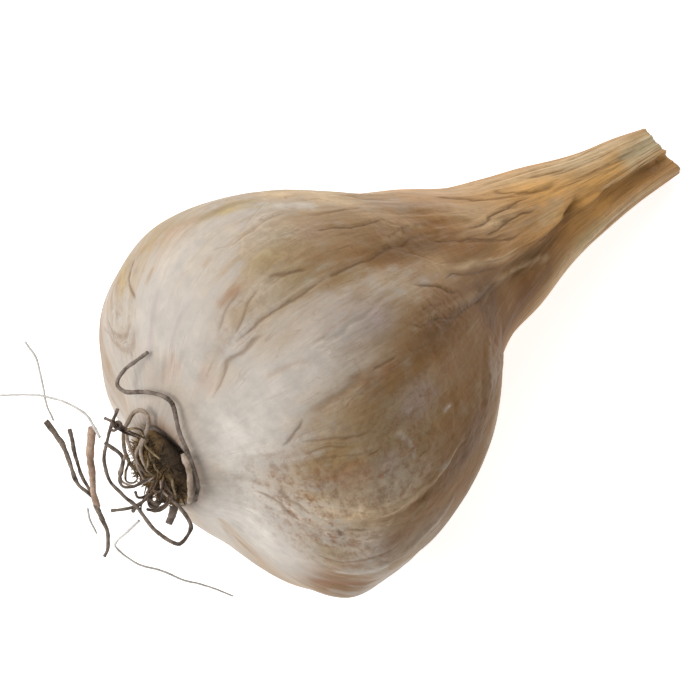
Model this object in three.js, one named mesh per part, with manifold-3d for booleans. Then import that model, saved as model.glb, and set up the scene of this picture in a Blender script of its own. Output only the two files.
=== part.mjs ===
// A garlic bulb lying on its side, root end to the left and dried neck to the right.
// Millimetres, +Z up, standing on z = 0.
//
// The bulb's own axes: "along" runs from the root plate's seat to the tip of the neck, "turn" is the
// angle round that axis in degrees, 0 on the face that is up and to the front, +90 on the upper
// flank and -90 on the lower flank, and "out" is the distance from the axis.
import * as THREE from 'three';
import { mergeVertices } from 'three/addons/utils/BufferGeometryUtils.js';
import Module from 'manifold-3d';

// ---------------------------------------------------------------- driving dimensions
// It lies on two cloves and the tip of its neck.
const REST_TILT = 20.4;         // degrees the neck dips
const REST_TURN = 8.9;          // degrees from straight up to the bulb's face
const REST_PLACE = [-37.1, 0.7, 35.3];    // where the root plate's seat lies

// [along, out] down each flank: pole, seat of the root plate, rim, shoulder, belly, neck, tip
const UPPER_FLANK = [
  [2.8, 0], [2.6, 5], [1.6, 7.2], [3.9, 12.2], [6, 18.7], [9, 23.8], [12.7, 26.9], [17, 28.6],
  [21.5, 29], [27, 28.2], [33.5, 25.9], [40, 22.2], [46.3, 18.3], [52.6, 15.3], [58.8, 12.1],
  [65.1, 10.1], [71.4, 8.5], [77.9, 6.6], [84.6, 5.2], [91.2, 4.1],
];
const LOWER_FLANK = [
  [2.8, 0], [2.6, 5], [1.8, 7], [5.2, 11.8], [7.4, 18], [9.2, 22.7], [11.8, 26.7], [15.9, 29.9],
  [21.5, 30.2], [27, 29.5], [34, 27], [40.8, 23.2], [46.2, 18.7], [50.4, 13.9], [55.6, 11.1],
  [62.4, 9.3], [70, 6.8], [77.5, 5.4], [84.4, 4.6], [92.4, 4.3],
];

// the hollows between the cloves: turn, depth and half width in degrees
const CLOVE_VALLEYS = [
  [18, 0.9, 10], [-27, 0.7, 10], [-57, 1, 11], [-85, 1, 11], [-113, 1.1, 12], [-142, 1.2, 12],
  [-173, 1.4, 12], [156, 1.2, 12], [128, 1.2, 12], [102, 0.9, 12], [78, 0.5, 12], [50, 0.5, 10],
];
const HEEL = { turn: -128, halfWidth: 36, depth: 3.7 };    // the small clove low on the root end
const NECK_FLATTENING = 0.2;    // share of its depth that the dried neck has lost
const NECK_CHANNEL = { turn: -34, halfWidth: 18, depth: 0.9 };
const TIP_SLANT = 1.2;          // how much shorter the neck is cut on its face

const LEAF_THICKNESS = 0.45;    // a dried outer leaf
const LEAF_GAP = 0.48;          // between a leaf and the skin under it
const LEAF_EDGE = -10;          // turn of the free edge down the face of the neck
const BACK_SEAM = -155;         // turn where the two leaves meet again behind
const SEAM_GAP = 1.5;           // degrees each leaf stops short of a seam
// one clove stays bare between the leaves up to the shoulder, where they close over it
const BARE_CLOVE = { upperTurn: 14, closesFrom: 43, closesTo: 60 };
// where each leaf's torn hem runs over the bulb: [turn, along]
const UPPER_HEM = [
  [14, 21], [22, 16], [32, 15], [44, 19], [58, 27], [75, 35], [100, 40], [130, 38], [165, 45],
  [205, 48],
];
const SIDE_HEM = [
  [-155, 48], [-125, 39], [-98, 29], [-80, 20], [-60, 13], [-40, 11], [-24, 12], [-10, 15],
];
const NECK_CORE_SHORT = 1.6;    // how far the inner neck stops before the leaves' cut ends
const NECK_END = 91.2;          // where the middle of the cut is

const PLATE_RADIUS = 6;
const PLATE_FRONT = -0.6;
const PLATE_BACK = 2.1;

const COLUMN = 5;               // degrees between the columns of points round the bulb
const ROWS_PER_STATION = 2;

// ---------------------------------------------------------------- the bulb's surface
const radians = THREE.MathUtils.degToRad;
const smooth = THREE.MathUtils.smoothstep;
const asCurve = (points) => new THREE.SplineCurve(points.map(([x, y]) => new THREE.Vector2(x, y)));
const upperFlank = asCurve(UPPER_FLANK);
const lowerFlank = asCurve(LOWER_FLANK);

// a smooth hollow centred on one turn, whichever way round it is nearest
function hollow(turn, centre, halfWidth) {
  const away = THREE.MathUtils.euclideanModulo(turn - centre + 180, 360) - 180;
  return Math.exp(-((away / halfWidth) ** 2));
}

// distance along and out of the skin at a station (0 pole to 1 tip) and a turn
function skin(station, turn) {
  const upper = 0.5 + 0.5 * Math.sin(radians(turn));
  const point = lowerFlank.getPoint(station).lerp(upperFlank.getPoint(station), upper);
  const along = point.x;
  let out = point.y;
  let valleys = 0;
  for (const [centre, depth, halfWidth] of CLOVE_VALLEYS) {
    valleys += depth * hollow(turn, centre, halfWidth);
  }
  out -= valleys * smooth(along, 2, 14) * (1 - smooth(along, 30, 58));
  const heel = HEEL.depth * hollow(turn, HEEL.turn, HEEL.halfWidth);
  out -= heel * smooth(out, 8, 14) * (1 - smooth(along, 8, 19));
  const neck = smooth(along, 52, 74);
  out *= 1 - NECK_FLATTENING * neck * Math.cos(radians(turn)) ** 2;
  out -= neck * NECK_CHANNEL.depth * hollow(turn, NECK_CHANNEL.turn, NECK_CHANNEL.halfWidth);
  return { along, out };
}

// a point in the bulb's axes, "inset" millimetres under the skin
function skinPoint(station, turn, inset) {
  const { along, out } = skin(station, turn);
  const heading = lowerFlank.getTangent(station).lerp(upperFlank.getTangent(station), 0.5).normalize();
  const reach = Math.max(out - inset * heading.x, 0);
  const slant = TIP_SLANT * smooth(along, 70, 91) * Math.max(Math.cos(radians(turn)), 0);
  return new THREE.Vector3(
    along + inset * heading.y - slant,
    reach * Math.sin(radians(turn)),
    reach * Math.cos(radians(turn)),
  );
}

// the station whose mean distance along is the one given
function stationAt(along) {
  let low = 0.12;
  let high = 1;
  for (let i = 0; i < 30; i += 1) {
    const middle = (low + high) / 2;
    const here = (lowerFlank.getPoint(middle).x + upperFlank.getPoint(middle).x) / 2;
    if (here < along) low = middle;
    else high = middle;
  }
  return high;
}

function hemAt(hem, turn) {
  const last = hem[hem.length - 1];
  if (turn <= hem[0][0]) return hem[0][1];
  if (turn >= last[0]) return last[1];
  const next = hem.findIndex(([at]) => at > turn);
  const [fromTurn, fromAlong] = hem[next - 1];
  const [toTurn, toAlong] = hem[next];
  return THREE.MathUtils.lerp(fromAlong, toAlong, smooth(turn, fromTurn, toTurn));
}

// where the upper leaf's free edge runs at a distance along: beside the bare clove, then down the neck
function upperEdgeAt(along) {
  const closed = smooth(along, BARE_CLOVE.closesFrom, BARE_CLOVE.closesTo);
  return THREE.MathUtils.lerp(BARE_CLOVE.upperTurn, LEAF_EDGE, closed);
}

// the hem of whichever leaf is at this turn
function hemOver(turn) {
  const middle = (LEAF_EDGE + BARE_CLOVE.upperTurn) / 2;
  const fromMiddle = THREE.MathUtils.euclideanModulo(turn - middle, 360);
  const upperSpan = BACK_SEAM + 360 - middle;
  return fromMiddle <= upperSpan
    ? hemAt(UPPER_HEM, fromMiddle + middle)
    : hemAt(SIDE_HEM, fromMiddle + middle - 360);
}

// 1 where the bulb is slimmer to make room for a leaf, from a little way outside the leaf's edges
function underLeaves(station, turn) {
  const { along } = skin(station, turn);
  let hem = Infinity;
  for (const aside of [-7, -3.5, 0, 3.5, 7]) hem = Math.min(hem, hemOver(turn + aside));
  const onFace = THREE.MathUtils.euclideanModulo(turn + 180, 360) - 180;
  const bareAcross = smooth(onFace, -6, -1) * (1 - smooth(onFace, 4, 9));
  const bareAlong = 1 - smooth(along, BARE_CLOVE.closesFrom - 3, BARE_CLOVE.closesFrom + 9);
  return smooth(along, hem - 8, hem - 4) * (1 - bareAcross * bareAlong);
}

// ---------------------------------------------------------------- solids
const wasm = await Module();
wasm.setup();

function welded(geometry) {
  const bare = geometry.clone();
  bare.deleteAttribute('normal');
  bare.deleteAttribute('uv');
  return mergeVertices(bare, 1e-4);
}

function toSolid(geometry) {
  const merged = welded(geometry);
  return new wasm.Manifold(new wasm.Mesh({
    numProp: 3,
    vertProperties: new Float32Array(merged.getAttribute('position').array),
    triVerts: new Uint32Array(merged.getIndex().array),
  }));
}

function toGeometry(solid) {
  const mesh = solid.getMesh();
  const geometry = new THREE.BufferGeometry();
  geometry.setAttribute('position', new THREE.BufferAttribute(mesh.vertProperties, 3));
  geometry.setIndex(new THREE.BufferAttribute(mesh.triVerts, 1));
  return geometry;
}

const restPlacement = new THREE.Matrix4().compose(
  new THREE.Vector3(...REST_PLACE),
  new THREE.Quaternion().setFromEuler(
    new THREE.Euler(radians(REST_TURN), radians(REST_TILT), 0, 'YXZ'),
  ),
  new THREE.Vector3(1, 1, 1),
);

// the block under the resting plane, in the bulb's axes
function groundBlock() {
  const block = new THREE.BoxGeometry(200, 200, 40);
  block.translate(0, 0, -20);
  block.applyMatrix4(restPlacement.clone().invert());
  return toSolid(block);
}

// The clove-filled body in its inner skin, with the inner neck: a lathe of the mean flank whose
// points are then moved to the lobed surface.
function bulbGeometry() {
  const rows = (UPPER_FLANK.length - 1) * ROWS_PER_STATION;
  const columns = 360 / COLUMN;
  const profile = [];
  for (let row = 0; row <= rows; row += 1) profile.push(new THREE.Vector2(1, row));
  profile[0].x = 0;
  profile.push(new THREE.Vector2(0, rows));
  const lathe = new THREE.LatheGeometry(profile, columns);
  const position = lathe.getAttribute('position');
  for (let i = 0; i < position.count; i += 1) {
    const column = Math.floor(i / profile.length);
    const row = Math.min(i % profile.length, rows);
    const isPole = i % profile.length === 0 || i % profile.length > rows;
    const turn = -COLUMN * (column % columns);
    const station = row / rows;
    const inset = (LEAF_THICKNESS + LEAF_GAP) * underLeaves(station, turn);
    const point = skinPoint(station, turn, inset);
    point.x -= NECK_CORE_SHORT * smooth(point.x, 80, 88);
    if (isPole) point.set(row === 0 ? point.x : NECK_END - NECK_CORE_SHORT, 0, 0);
    position.setXYZ(i, point.x, point.y, point.z);
  }
  return toGeometry(toSolid(lathe).subtract(groundBlock()));
}

// One outer leaf: a flat sheet bent over the bulb, from its hem to the cut end of the neck.
// Its long edges stop short of the seams, and the edge that it starts from may wander.
function leafGeometry(hem, startEdgeAt, toTurn, rows) {
  const columns = Math.round((toTurn - startEdgeAt(0)) / COLUMN);
  const sheet = new THREE.BoxGeometry(1, 1, 1, rows, columns, 1);
  const position = sheet.getAttribute('position');
  for (let i = 0; i < position.count; i += 1) {
    const across = position.getY(i) + 0.5;
    const start = stationAt(hemAt(hem, THREE.MathUtils.lerp(startEdgeAt(0), toTurn, across)));
    const station = THREE.MathUtils.lerp(start, 1, position.getX(i) + 0.5);
    const edge = startEdgeAt(skin(station, 0).along) + SEAM_GAP;
    const turn = THREE.MathUtils.lerp(edge, toTurn - SEAM_GAP, across);
    const point = skinPoint(station, turn, position.getZ(i) > 0 ? 0 : LEAF_THICKNESS);
    position.setXYZ(i, point.x, point.y, point.z);
  }
  return welded(sheet);
}

// The root plate: a low button, a little ragged round its edge.
function plateGeometry() {
  const profile = [
    [0, PLATE_FRONT - 0.5], [2.4, PLATE_FRONT - 0.7], [4.4, PLATE_FRONT - 0.1],
    [PLATE_RADIUS - 0.3, PLATE_FRONT + 0.5], [PLATE_RADIUS, 1], [PLATE_RADIUS - 1.3, PLATE_BACK],
    [0, PLATE_BACK],
  ].map(([out, along]) => new THREE.Vector2(out, along));
  const plate = new THREE.LatheGeometry(profile, 26);
  const position = plate.getAttribute('position');
  for (let i = 0; i < position.count; i += 1) {
    const turn = Math.atan2(position.getX(i), position.getZ(i));
    const ragged = 1 - 0.04 * (1 + Math.sin(5 * turn + 0.8)) - 0.02 * Math.sin(9 * turn);
    const out = Math.hypot(position.getX(i), position.getZ(i)) * ragged;
    position.setXYZ(i, position.getY(i), -out * Math.sin(turn), out * Math.cos(turn));
  }
  return welded(plate);
}

// ---------------------------------------------------------------- roots
// Each route is a list of points by hand: [along, towards the upper flank, towards the face].
const ROOTS = {
  // the thick one that kinks back over the skin in a Z
  root_hook: {
    radius: 0.35,
    steps: 30,
    route: [
      [0.4, -6, 3.9], [0.6, -4.6, 6.6], [0.9, -1.3, 8.5], [1.4, 2.8, 9.1], [2.6, 6.6, 9.6],
      [2.5, 8.3, 8.7], [1.7, 10.4, 5.3], [1, 11.7, 2.2], [1.2, 13, 1.1], [2.1, 14, 2.8],
      [4.4, 14.4, 8],
    ],
  },
  // a closed loop standing over the top of the plate
  root_loop: {
    radius: 0.28,
    steps: 30,
    route: [
      [-2, 1.5, -0.2], [-2.2, 3.2, 0.8], [-1, 4.6, 2.9], [0.2, 6, 4.6], [0.6, 7.3, 5.2],
      [0.4, 8.4, 4.4], [-0.2, 8.5, 3.2], [-1.6, 7.4, 1.7], [-2.3, 6, 0.3], [-2.5, 3.2, -1.1],
      [-2, 1.9, -1.9],
    ],
  },
  // the longest: down to a sharp V, then up and round the left of the tuft
  root_long: {
    radius: 0.3,
    steps: 44,
    route: [
      [-1.7, -4.2, 2.2], [-1.9, -6.2, 3.5], [-1.9, -8.8, 3.1], [-3.8, -10, 1.6], [-4.3, -9.6, 1.1],
      [-5.2, -6.4, -0.3], [-5.2, -2.5, -1.2], [-5.7, -0.1, -1.8], [-6.1, 2.4, -2],
      [-5.5, 4.9, -1.6], [-4.4, 6.6, -1], [-2.1, 8.7, -0.5], [-0.1, 10.2, -0.1],
    ],
  },
  // a small ring in front of the plate
  root_ring: {
    radius: 0.27,
    steps: 28,
    route: [
      [-4.8, 7.2, 0.5], [-3.7, 4.3, 0.4], [-4.4, 2.7, -0.4], [-5.6, 1.9, -0.3], [-5.8, 0.9, -0.1],
      [-4.8, 0.1, 0.2], [-2.8, -0.1, 0.5], [-1.6, -0.3, 0.7],
    ],
  },
  root_stub: { radius: 0.65, steps: 5, route: [[-1.4, -5.3, 0.9], [-2.2, -6.1, 0.8], [-3.3, -6.8, 0.5]] },
  // a pale one round the edge of the plate
  root_side: {
    radius: 0.4,
    steps: 14,
    route: [[0.5, 1.7, 7.6], [0.3, -0.8, 7.1], [-0.1, -2.4, 6.6], [-0.7, -4.3, 5.2], [-0.8, -5.5, 4]],
  },
  root_spur: {
    radius: 0.25,
    steps: 10,
    route: [[-7.4, -1.1, -4.1], [-6.1, -1.8, -3.5], [-4.5, -2.3, -3.2], [-1.5, -2.4, -2.9]],
  },
  root_curl_1: {
    radius: 0.3,
    steps: 16,
    route: [[-1.8, -2.7, 1.6], [-2.8, -3.6, 1.2], [-3.5, -3.8, 0.5], [-3.8, -2.9, -0.1], [-3.2, -2, 0.4]],
  },
  root_curl_2: {
    radius: 0.27,
    steps: 14,
    route: [[-1.9, -1.4, -1.3], [-2.8, -2, -1.8], [-4.1, -1.5, -1.5], [-4.3, -0.7, -0.8]],
  },
  root_top: {
    radius: 0.25,
    steps: 8,
    route: [[-1.7, 10.1, -1.9], [-0.4, 8, -1.5], [-0.2, 6.7, -1.4]],
  },
};

// fine hair roots
const THREADS = {
  thread_upper: {
    radius: 0.16,
    steps: 16,
    route: [
      [-4.6, 8.2, -0.3], [-4.2, 9.5, -1.1], [-3.6, 11.8, -2.3], [-4.1, 14.8, -4.8],
      [-5.2, 17.5, -8.1], [-7.8, 20.6, -13.8],
    ],
  },
  thread_left: {
    radius: 0.15,
    steps: 12,
    route: [
      [-2.1, 24.8, -9.4], [-2.3, 22, -8.9], [-3.4, 18.9, -9], [-4.6, 15.7, -9.2], [-4.9, 13.6, -9.4],
    ],
  },
  thread_lower: {
    radius: 0.15,
    steps: 30,
    route: [
      [-5.3, -4.3, -2.6], [-6.4, -4.8, -6.5], [-6.1, -5.1, -11], [-5.2, -6, -13.7],
      [-3.6, -9.2, -14.1], [-1.1, -11.9, -14], [0.9, -14.5, -14.1], [3.1, -16.5, -14.2],
      [4.8, -18.4, -14.4], [6.2, -20, -14.8],
    ],
  },
  thread_fork: {
    radius: 0.15,
    steps: 8,
    route: [[-6.8, 0.9, -11.3], [-6.9, -0.5, -12.4], [-6.5, -2.7, -13.9]],
  },
};

// a broken, forked root: three prongs that grow together
const FORK_PRONGS = [
  {
    radius: 0.42,
    steps: 12,
    route: [[-6.3, 14.1, -8.7], [-6, 10.9, -8.7], [-6.2, 7.7, -9.2], [-6.7, 4.8, -9.9], [-6, 2, -9.8]],
  },
  {
    radius: 0.33,
    steps: 10,
    route: [[-4.7, 11.4, -7], [-5.4, 8.4, -8], [-5.9, 5.4, -9], [-5.9, 2.2, -9.6]],
  },
  {
    radius: 0.55,
    steps: 22,
    route: [
      [-3.8, 9.8, -2.6], [-4.9, 7, -5.1], [-5.3, 4.6, -7.1], [-5.8, 2.3, -9.1], [-5.9, 0.4, -10.4],
      [-5.8, -1.6, -11.5], [-5.8, -3.8, -12.6], [-6.5, -5.3, -13.8], [-7.2, -5.9, -14.4],
    ],
  },
];

function tubeGeometry({ radius, steps, route }, sides = 6) {
  const path = new THREE.CatmullRomCurve3(route.map((at) => new THREE.Vector3(...at)));
  const section = new THREE.Shape();
  for (let side = 0; side < sides; side += 1) {
    const turn = (2 * Math.PI * side) / sides;
    const corner = [radius * Math.cos(turn), radius * Math.sin(turn)];
    if (side === 0) section.moveTo(...corner);
    else section.lineTo(...corner);
  }
  section.closePath();
  return new THREE.ExtrudeGeometry(section, { steps, extrudePath: path, bevelEnabled: false });
}

function forkGeometry() {
  const [first, ...others] = FORK_PRONGS.map((prong) => toSolid(tubeGeometry(prong)));
  return toGeometry(others.reduce((whole, prong) => whole.add(prong), first));
}

// ---------------------------------------------------------------- materials and assembly
const innerSkin = { color: 0xcbbfb2, roughness: 0.62 };
const outerLeaf = { color: 0xb08f63, roughness: 0.68 };
const sideLeaf = { color: 0x94795c, roughness: 0.7 };
const corkyPlate = { color: 0x4d3a26, roughness: 0.95 };
const dryRoot = { color: 0x7a6a58, roughness: 0.85 };
const hairRoot = { color: 0xa39c92, roughness: 0.8 };
const forkRoot = { color: 0x8d7458, roughness: 0.85 };

const garlic = new THREE.Group();
garlic.applyMatrix4(restPlacement);

function addPiece(name, geometry, look) {
  const mesh = new THREE.Mesh(geometry, new THREE.MeshStandardMaterial({ metalness: 0, ...look }));
  mesh.name = name;
  garlic.add(mesh);
}

addPiece('bulb', bulbGeometry(), innerSkin);
addPiece('upper_leaf', leafGeometry(UPPER_HEM, upperEdgeAt, BACK_SEAM + 360, 24), outerLeaf);
addPiece('side_leaf', leafGeometry(SIDE_HEM, () => BACK_SEAM, LEAF_EDGE, 24), sideLeaf);
addPiece('basal_plate', plateGeometry(), corkyPlate);
for (const [name, root] of Object.entries(ROOTS)) addPiece(name, welded(tubeGeometry(root)), dryRoot);
for (const [name, root] of Object.entries(THREADS)) addPiece(name, welded(tubeGeometry(root)), hairRoot);
addPiece('root_fork', forkGeometry(), forkRoot);

export default garlic;
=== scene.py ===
# A garlic bulb lying on its side in its dried papery skins, with its dry roots.
# Metres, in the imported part's own frame: +Z up, standing on z = 0.
#
# The bulb's own axes are those of the part's source: "along" runs from the root plate's seat to the tip
# of the neck, "turn" is the angle round that axis in degrees, 0 on the face that is up and to the
# front, +90 on the upper flank and -90 on the lower one, and "out" is the distance from the axis.
import math

import bpy
import numpy as np
from mathutils import Matrix, Vector


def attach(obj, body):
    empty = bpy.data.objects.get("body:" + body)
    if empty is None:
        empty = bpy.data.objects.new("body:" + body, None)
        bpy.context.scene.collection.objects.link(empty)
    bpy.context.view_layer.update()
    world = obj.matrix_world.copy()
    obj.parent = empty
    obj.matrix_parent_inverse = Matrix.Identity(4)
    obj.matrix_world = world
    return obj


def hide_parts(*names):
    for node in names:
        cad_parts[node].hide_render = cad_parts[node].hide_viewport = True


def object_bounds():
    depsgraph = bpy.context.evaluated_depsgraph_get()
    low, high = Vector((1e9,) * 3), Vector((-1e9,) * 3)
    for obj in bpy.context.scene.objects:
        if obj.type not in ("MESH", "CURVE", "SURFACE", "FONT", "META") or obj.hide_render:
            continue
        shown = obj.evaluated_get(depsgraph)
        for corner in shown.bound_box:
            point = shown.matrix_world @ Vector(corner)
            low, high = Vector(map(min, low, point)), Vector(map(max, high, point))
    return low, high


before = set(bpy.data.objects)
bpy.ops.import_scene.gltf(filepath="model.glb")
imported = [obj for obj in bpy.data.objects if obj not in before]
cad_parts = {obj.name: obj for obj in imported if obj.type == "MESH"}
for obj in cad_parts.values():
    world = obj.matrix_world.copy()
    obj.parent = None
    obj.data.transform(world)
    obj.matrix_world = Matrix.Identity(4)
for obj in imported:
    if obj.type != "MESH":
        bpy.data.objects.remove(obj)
cad_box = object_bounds()

MM = 0.001

# ---------------------------------------------------------------- sizes shared with the solids (mm, degrees)
REST_TILT = 20.4
REST_TURN = 8.9
REST_PLACE = Vector((-37.1, 0.7, 35.3))     # where the root plate's seat is
# (along, out) of the two flanks, from the root plate's seat to the cut tip
UPPER_FLANK = np.array([
    [2.8, 0], [2.6, 5], [1.6, 7.2], [3.9, 12.2], [6, 18.7], [9, 23.8], [12.7, 26.9], [17, 28.6],
    [21.5, 29], [27, 28.2], [33.5, 25.9], [40, 22.2], [46.3, 18.3], [52.6, 15.3], [58.8, 12.1],
    [65.1, 10.1], [71.4, 8.5], [77.9, 6.6], [84.6, 5.2], [91.2, 4.1],
])
LOWER_FLANK = np.array([
    [2.8, 0], [2.6, 5], [1.8, 7], [5.2, 11.8], [7.4, 18], [9.2, 22.7], [11.8, 26.7], [15.9, 29.9],
    [21.5, 30.2], [27, 29.5], [34, 27], [40.8, 23.2], [46.2, 18.7], [50.4, 13.9], [55.6, 11.1],
    [62.4, 9.3], [70, 6.8], [77.5, 5.4], [84.4, 4.6], [92.4, 4.3],
])
# the seams between the cloves: (turn, depth, half width in degrees)
CLOVE_VALLEYS = [
    (18, 0.9, 10), (-27, 0.7, 10), (-57, 1, 11), (-85, 1, 11), (-113, 1.1, 12), (-142, 1.2, 12),
    (-173, 1.4, 12), (156, 1.2, 12), (128, 1.2, 12), (102, 0.9, 12), (78, 0.5, 12), (50, 0.5, 10),
]
HEEL = (-128, 36, 3.7)      # the small clove low on the root end: turn, half width, depth
NECK_FLATTENING = 0.2       # share of its depth that the dried neck has lost
NECK_CHANNEL = (-34, 18, 0.9)       # the channel down the neck: turn, half width, depth
TIP_SLANT = 1.2             # mm that the cut slants away on the face
LEAF_EDGE = -10             # turn of the side leaf's free edge on the face
BACK_SEAM = -155            # turn of the seam where the two leaves meet at the back
BARE_CLOSES = (43, 60)      # along: where the bare clove ends
EDGE_SHIFT = 5              # degrees that the side leaf's edge moves where it ends
# (along, turn) of the upper leaf's free edge: along the seam, then along the crest where the leaf closes
UPPER_EDGE = np.array([
    (20, 20.5), (32, 20.5), (37, 20), (40, 15), (43, 6.5), (46, 4.5), (49, 3), (53.5, -1),
    (56.5, -4), (61, -6), (65, -9), (70, -10),
])
# (turn, along) of the two leaves' torn hems
UPPER_HEM = np.array([
    (14, 21), (22, 16), (32, 15), (44, 19), (58, 27), (75, 35), (100, 40), (130, 38), (165, 45),
    (215, 48),
])
SIDE_HEM = np.array([
    (-165, 48), (-125, 39), (-98, 29), (-80, 20), (-60, 13), (-40, 11), (-24, 12), (-10, 15), (0, 18),
])
NECK_CORE_SHORT = 1.6       # mm that the inner neck stops before the leaves' cut ends
CLOVES_SWELL = (2, 14)      # along: the seams between the cloves deepen here
CLOVES_FADE = (30, 58)      # and run out here
HEEL_OUT = (8, 14)          # out: where the small clove low on the root end begins
HEEL_FADES = (8, 19)        # along: where it runs out
NECK_BEGINS = (52, 74)      # along: where the belly turns into the flattened neck
TIP_SLANTS = (70, 91)       # along: where the slant of the cut comes in
TIP_RAGGED = (87, 91)       # along: where the cut turns ragged
CORE_DRAWN_IN = (80, 88)    # along: where the inner neck draws back from the leaves

# ---------------------------------------------------------------- the camera
CAMERA_AZIMUTH = -36.1
CAMERA_ELEVATION = 80.1
LENS = 1000          # so long that the neck isn't foreshortened
SENSOR = 36
FRAME_WIDTH = 96.4   # mm that the frame spans at the bulb
AIM_RIGHT = 26.17    # mm from the root plate's seat to the middle of the frame
AIM_UP = 16.53
AIM_DEPTH = -18
FAR_CLIP = 100       # metres

azimuth = math.radians(CAMERA_AZIMUTH)
elevation = math.radians(CAMERA_ELEVATION)
to_camera = Vector((
    math.sin(azimuth) * math.cos(elevation),
    -math.cos(azimuth) * math.cos(elevation),
    math.sin(elevation),
))
camera_right = Vector((math.cos(azimuth), math.sin(azimuth), 0))
camera_up = to_camera.cross(camera_right)
aim = REST_PLACE + camera_right * AIM_RIGHT + camera_up * AIM_UP + to_camera * AIM_DEPTH
camera_data = bpy.data.cameras.new("camera")
camera_data.lens = LENS
camera_data.sensor_width = SENSOR
camera_data.clip_end = FAR_CLIP
camera = bpy.data.objects.new("camera", camera_data)
bpy.context.scene.collection.objects.link(camera)
camera.location = (aim + to_camera * (FRAME_WIDTH * LENS / SENSOR)) * MM
camera.rotation_mode = "QUATERNION"
camera.rotation_quaternion = (-to_camera).to_track_quat("-Z", "Y")
bpy.context.scene.camera = camera


# ---------------------------------------------------------------- the bulb's surface
THIN_NECK = 3        # mm: the least radius that a degree of turn is measured at


def smooth(x, start, end):
    """0 before the start, 1 after the end, and an even slope between"""
    t = np.clip((x - start) / (end - start), 0, 1)
    return t * t * (3 - 2 * t)


def away(turn, centre):
    """degrees from centre to turn, the nearer way round"""
    return (turn - centre + 180) % 360 - 180


def bell(x, middle, half_width):
    """1 at the middle, falling away evenly on both sides"""
    return np.exp(-(((x - middle) / half_width) ** 2))


def hollow(turn, centre, half_width):
    """1 at the centre, falling away on both sides of it round the bulb"""
    return bell(away(turn, centre), 0, half_width)


def patch(turn, along, centre, at, half_turn, half_length):
    """1 in the middle of an oval patch of the skin, falling away to 0"""
    return np.exp(-((away(turn, centre) / half_turn) ** 2 + ((along - at) / half_length) ** 2))


def facing(turn, centre):
    """1 at the centre, 0 on the opposite side of the bulb"""
    return 0.5 + 0.5 * np.cos(np.radians(turn - centre))


def degree_at(out):
    """mm round the bulb in one degree of turn, and no less than on a thin neck"""
    return np.radians(1) * np.maximum(out, THIN_NECK)


def cubic(start, end, leave, arrive, share):
    """a point on the curve from start to end that leaves and arrives with these slopes"""
    bend = 2 * start - 2 * end + leave + arrive
    swing = -3 * start + 3 * end - 2 * leave - arrive
    return ((bend * share + swing) * share + leave) * share + start


def through(points, station):
    """a smooth line through the points, from 0 at the first to 1 at the last"""
    last = len(points) - 1
    place = np.clip(station, 0, 1) * last
    i = np.minimum(np.floor(place).astype(int), last - 1)
    w = (place - i)[..., None]
    before = points[np.maximum(i - 1, 0)]
    start = points[i]
    end = points[i + 1]
    after = points[np.minimum(i + 2, last)]
    return cubic(start, end, (end - before) / 2, (after - start) / 2, w)


def skin(station, turn):
    """(along, out) of the smooth lobed skin"""
    upper = (0.5 + 0.5 * np.sin(np.radians(turn)))[..., None]
    point = through(LOWER_FLANK, station) * (1 - upper) + through(UPPER_FLANK, station) * upper
    along = point[..., 0]
    out = point[..., 1]
    valleys = sum(depth * hollow(turn, centre, width) for centre, depth, width in CLOVE_VALLEYS)
    out = out - valleys * smooth(along, *CLOVES_SWELL) * (1 - smooth(along, *CLOVES_FADE))
    heel = HEEL[2] * hollow(turn, HEEL[0], HEEL[1])
    out = out - heel * smooth(out, *HEEL_OUT) * (1 - smooth(along, *HEEL_FADES))
    neck = smooth(along, *NECK_BEGINS)
    out = out * (1 - NECK_FLATTENING * neck * np.cos(np.radians(turn)) ** 2)
    out = out - neck * NECK_CHANNEL[2] * hollow(turn, NECK_CHANNEL[0], NECK_CHANNEL[1])
    return along, out


EVEN_STATIONS = np.linspace(0, 1, 2000)
MEAN_FLANK = (through(LOWER_FLANK, EVEN_STATIONS) + through(UPPER_FLANK, EVEN_STATIONS)) / 2
EVEN_TRAVEL = np.concatenate([[0], np.cumsum(np.hypot(*np.diff(MEAN_FLANK, axis=0).T))])
PAST_HOLLOW = EVEN_STATIONS > 0.11      # from here on each station is further along than the last


def station_after(travel):
    """station after a share of the way over the skin from the root end to the tip"""
    return np.interp(np.asarray(travel) * EVEN_TRAVEL[-1], EVEN_TRAVEL, EVEN_STATIONS)


def station_at(along):
    """station of the first point past the root hollow that is this far along"""
    return np.interp(along, MEAN_FLANK[PAST_HOLLOW, 0], EVEN_STATIONS[PAST_HOLLOW])


# the random values are laid out from this far before the root plate's seat, over this length, in mm
RIPPLE_START = 12
RIPPLE_SPAN = 130


def ripple(turn, along, cells_round, cell_length, seed):
    """smooth random values from -1 to 1 that close up round the bulb"""
    rows = int(RIPPLE_SPAN / cell_length) + 4
    values = np.random.default_rng(seed).uniform(-1, 1, (cells_round, rows))
    x = (turn / 360 % 1) * cells_round
    y = (along + RIPPLE_START) / cell_length
    i = np.floor(x).astype(int)
    j = np.clip(np.floor(y).astype(int), 0, rows - 2)
    u = smooth(x - i, 0, 1)
    v = smooth(y - j, 0, 1)
    i = i % cells_round
    after = (i + 1) % cells_round
    near_row = values[i, j] * (1 - u) + values[after, j] * u
    far_row = values[i, j + 1] * (1 - u) + values[after, j + 1] * u
    return near_row * (1 - v) + far_row * v


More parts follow.
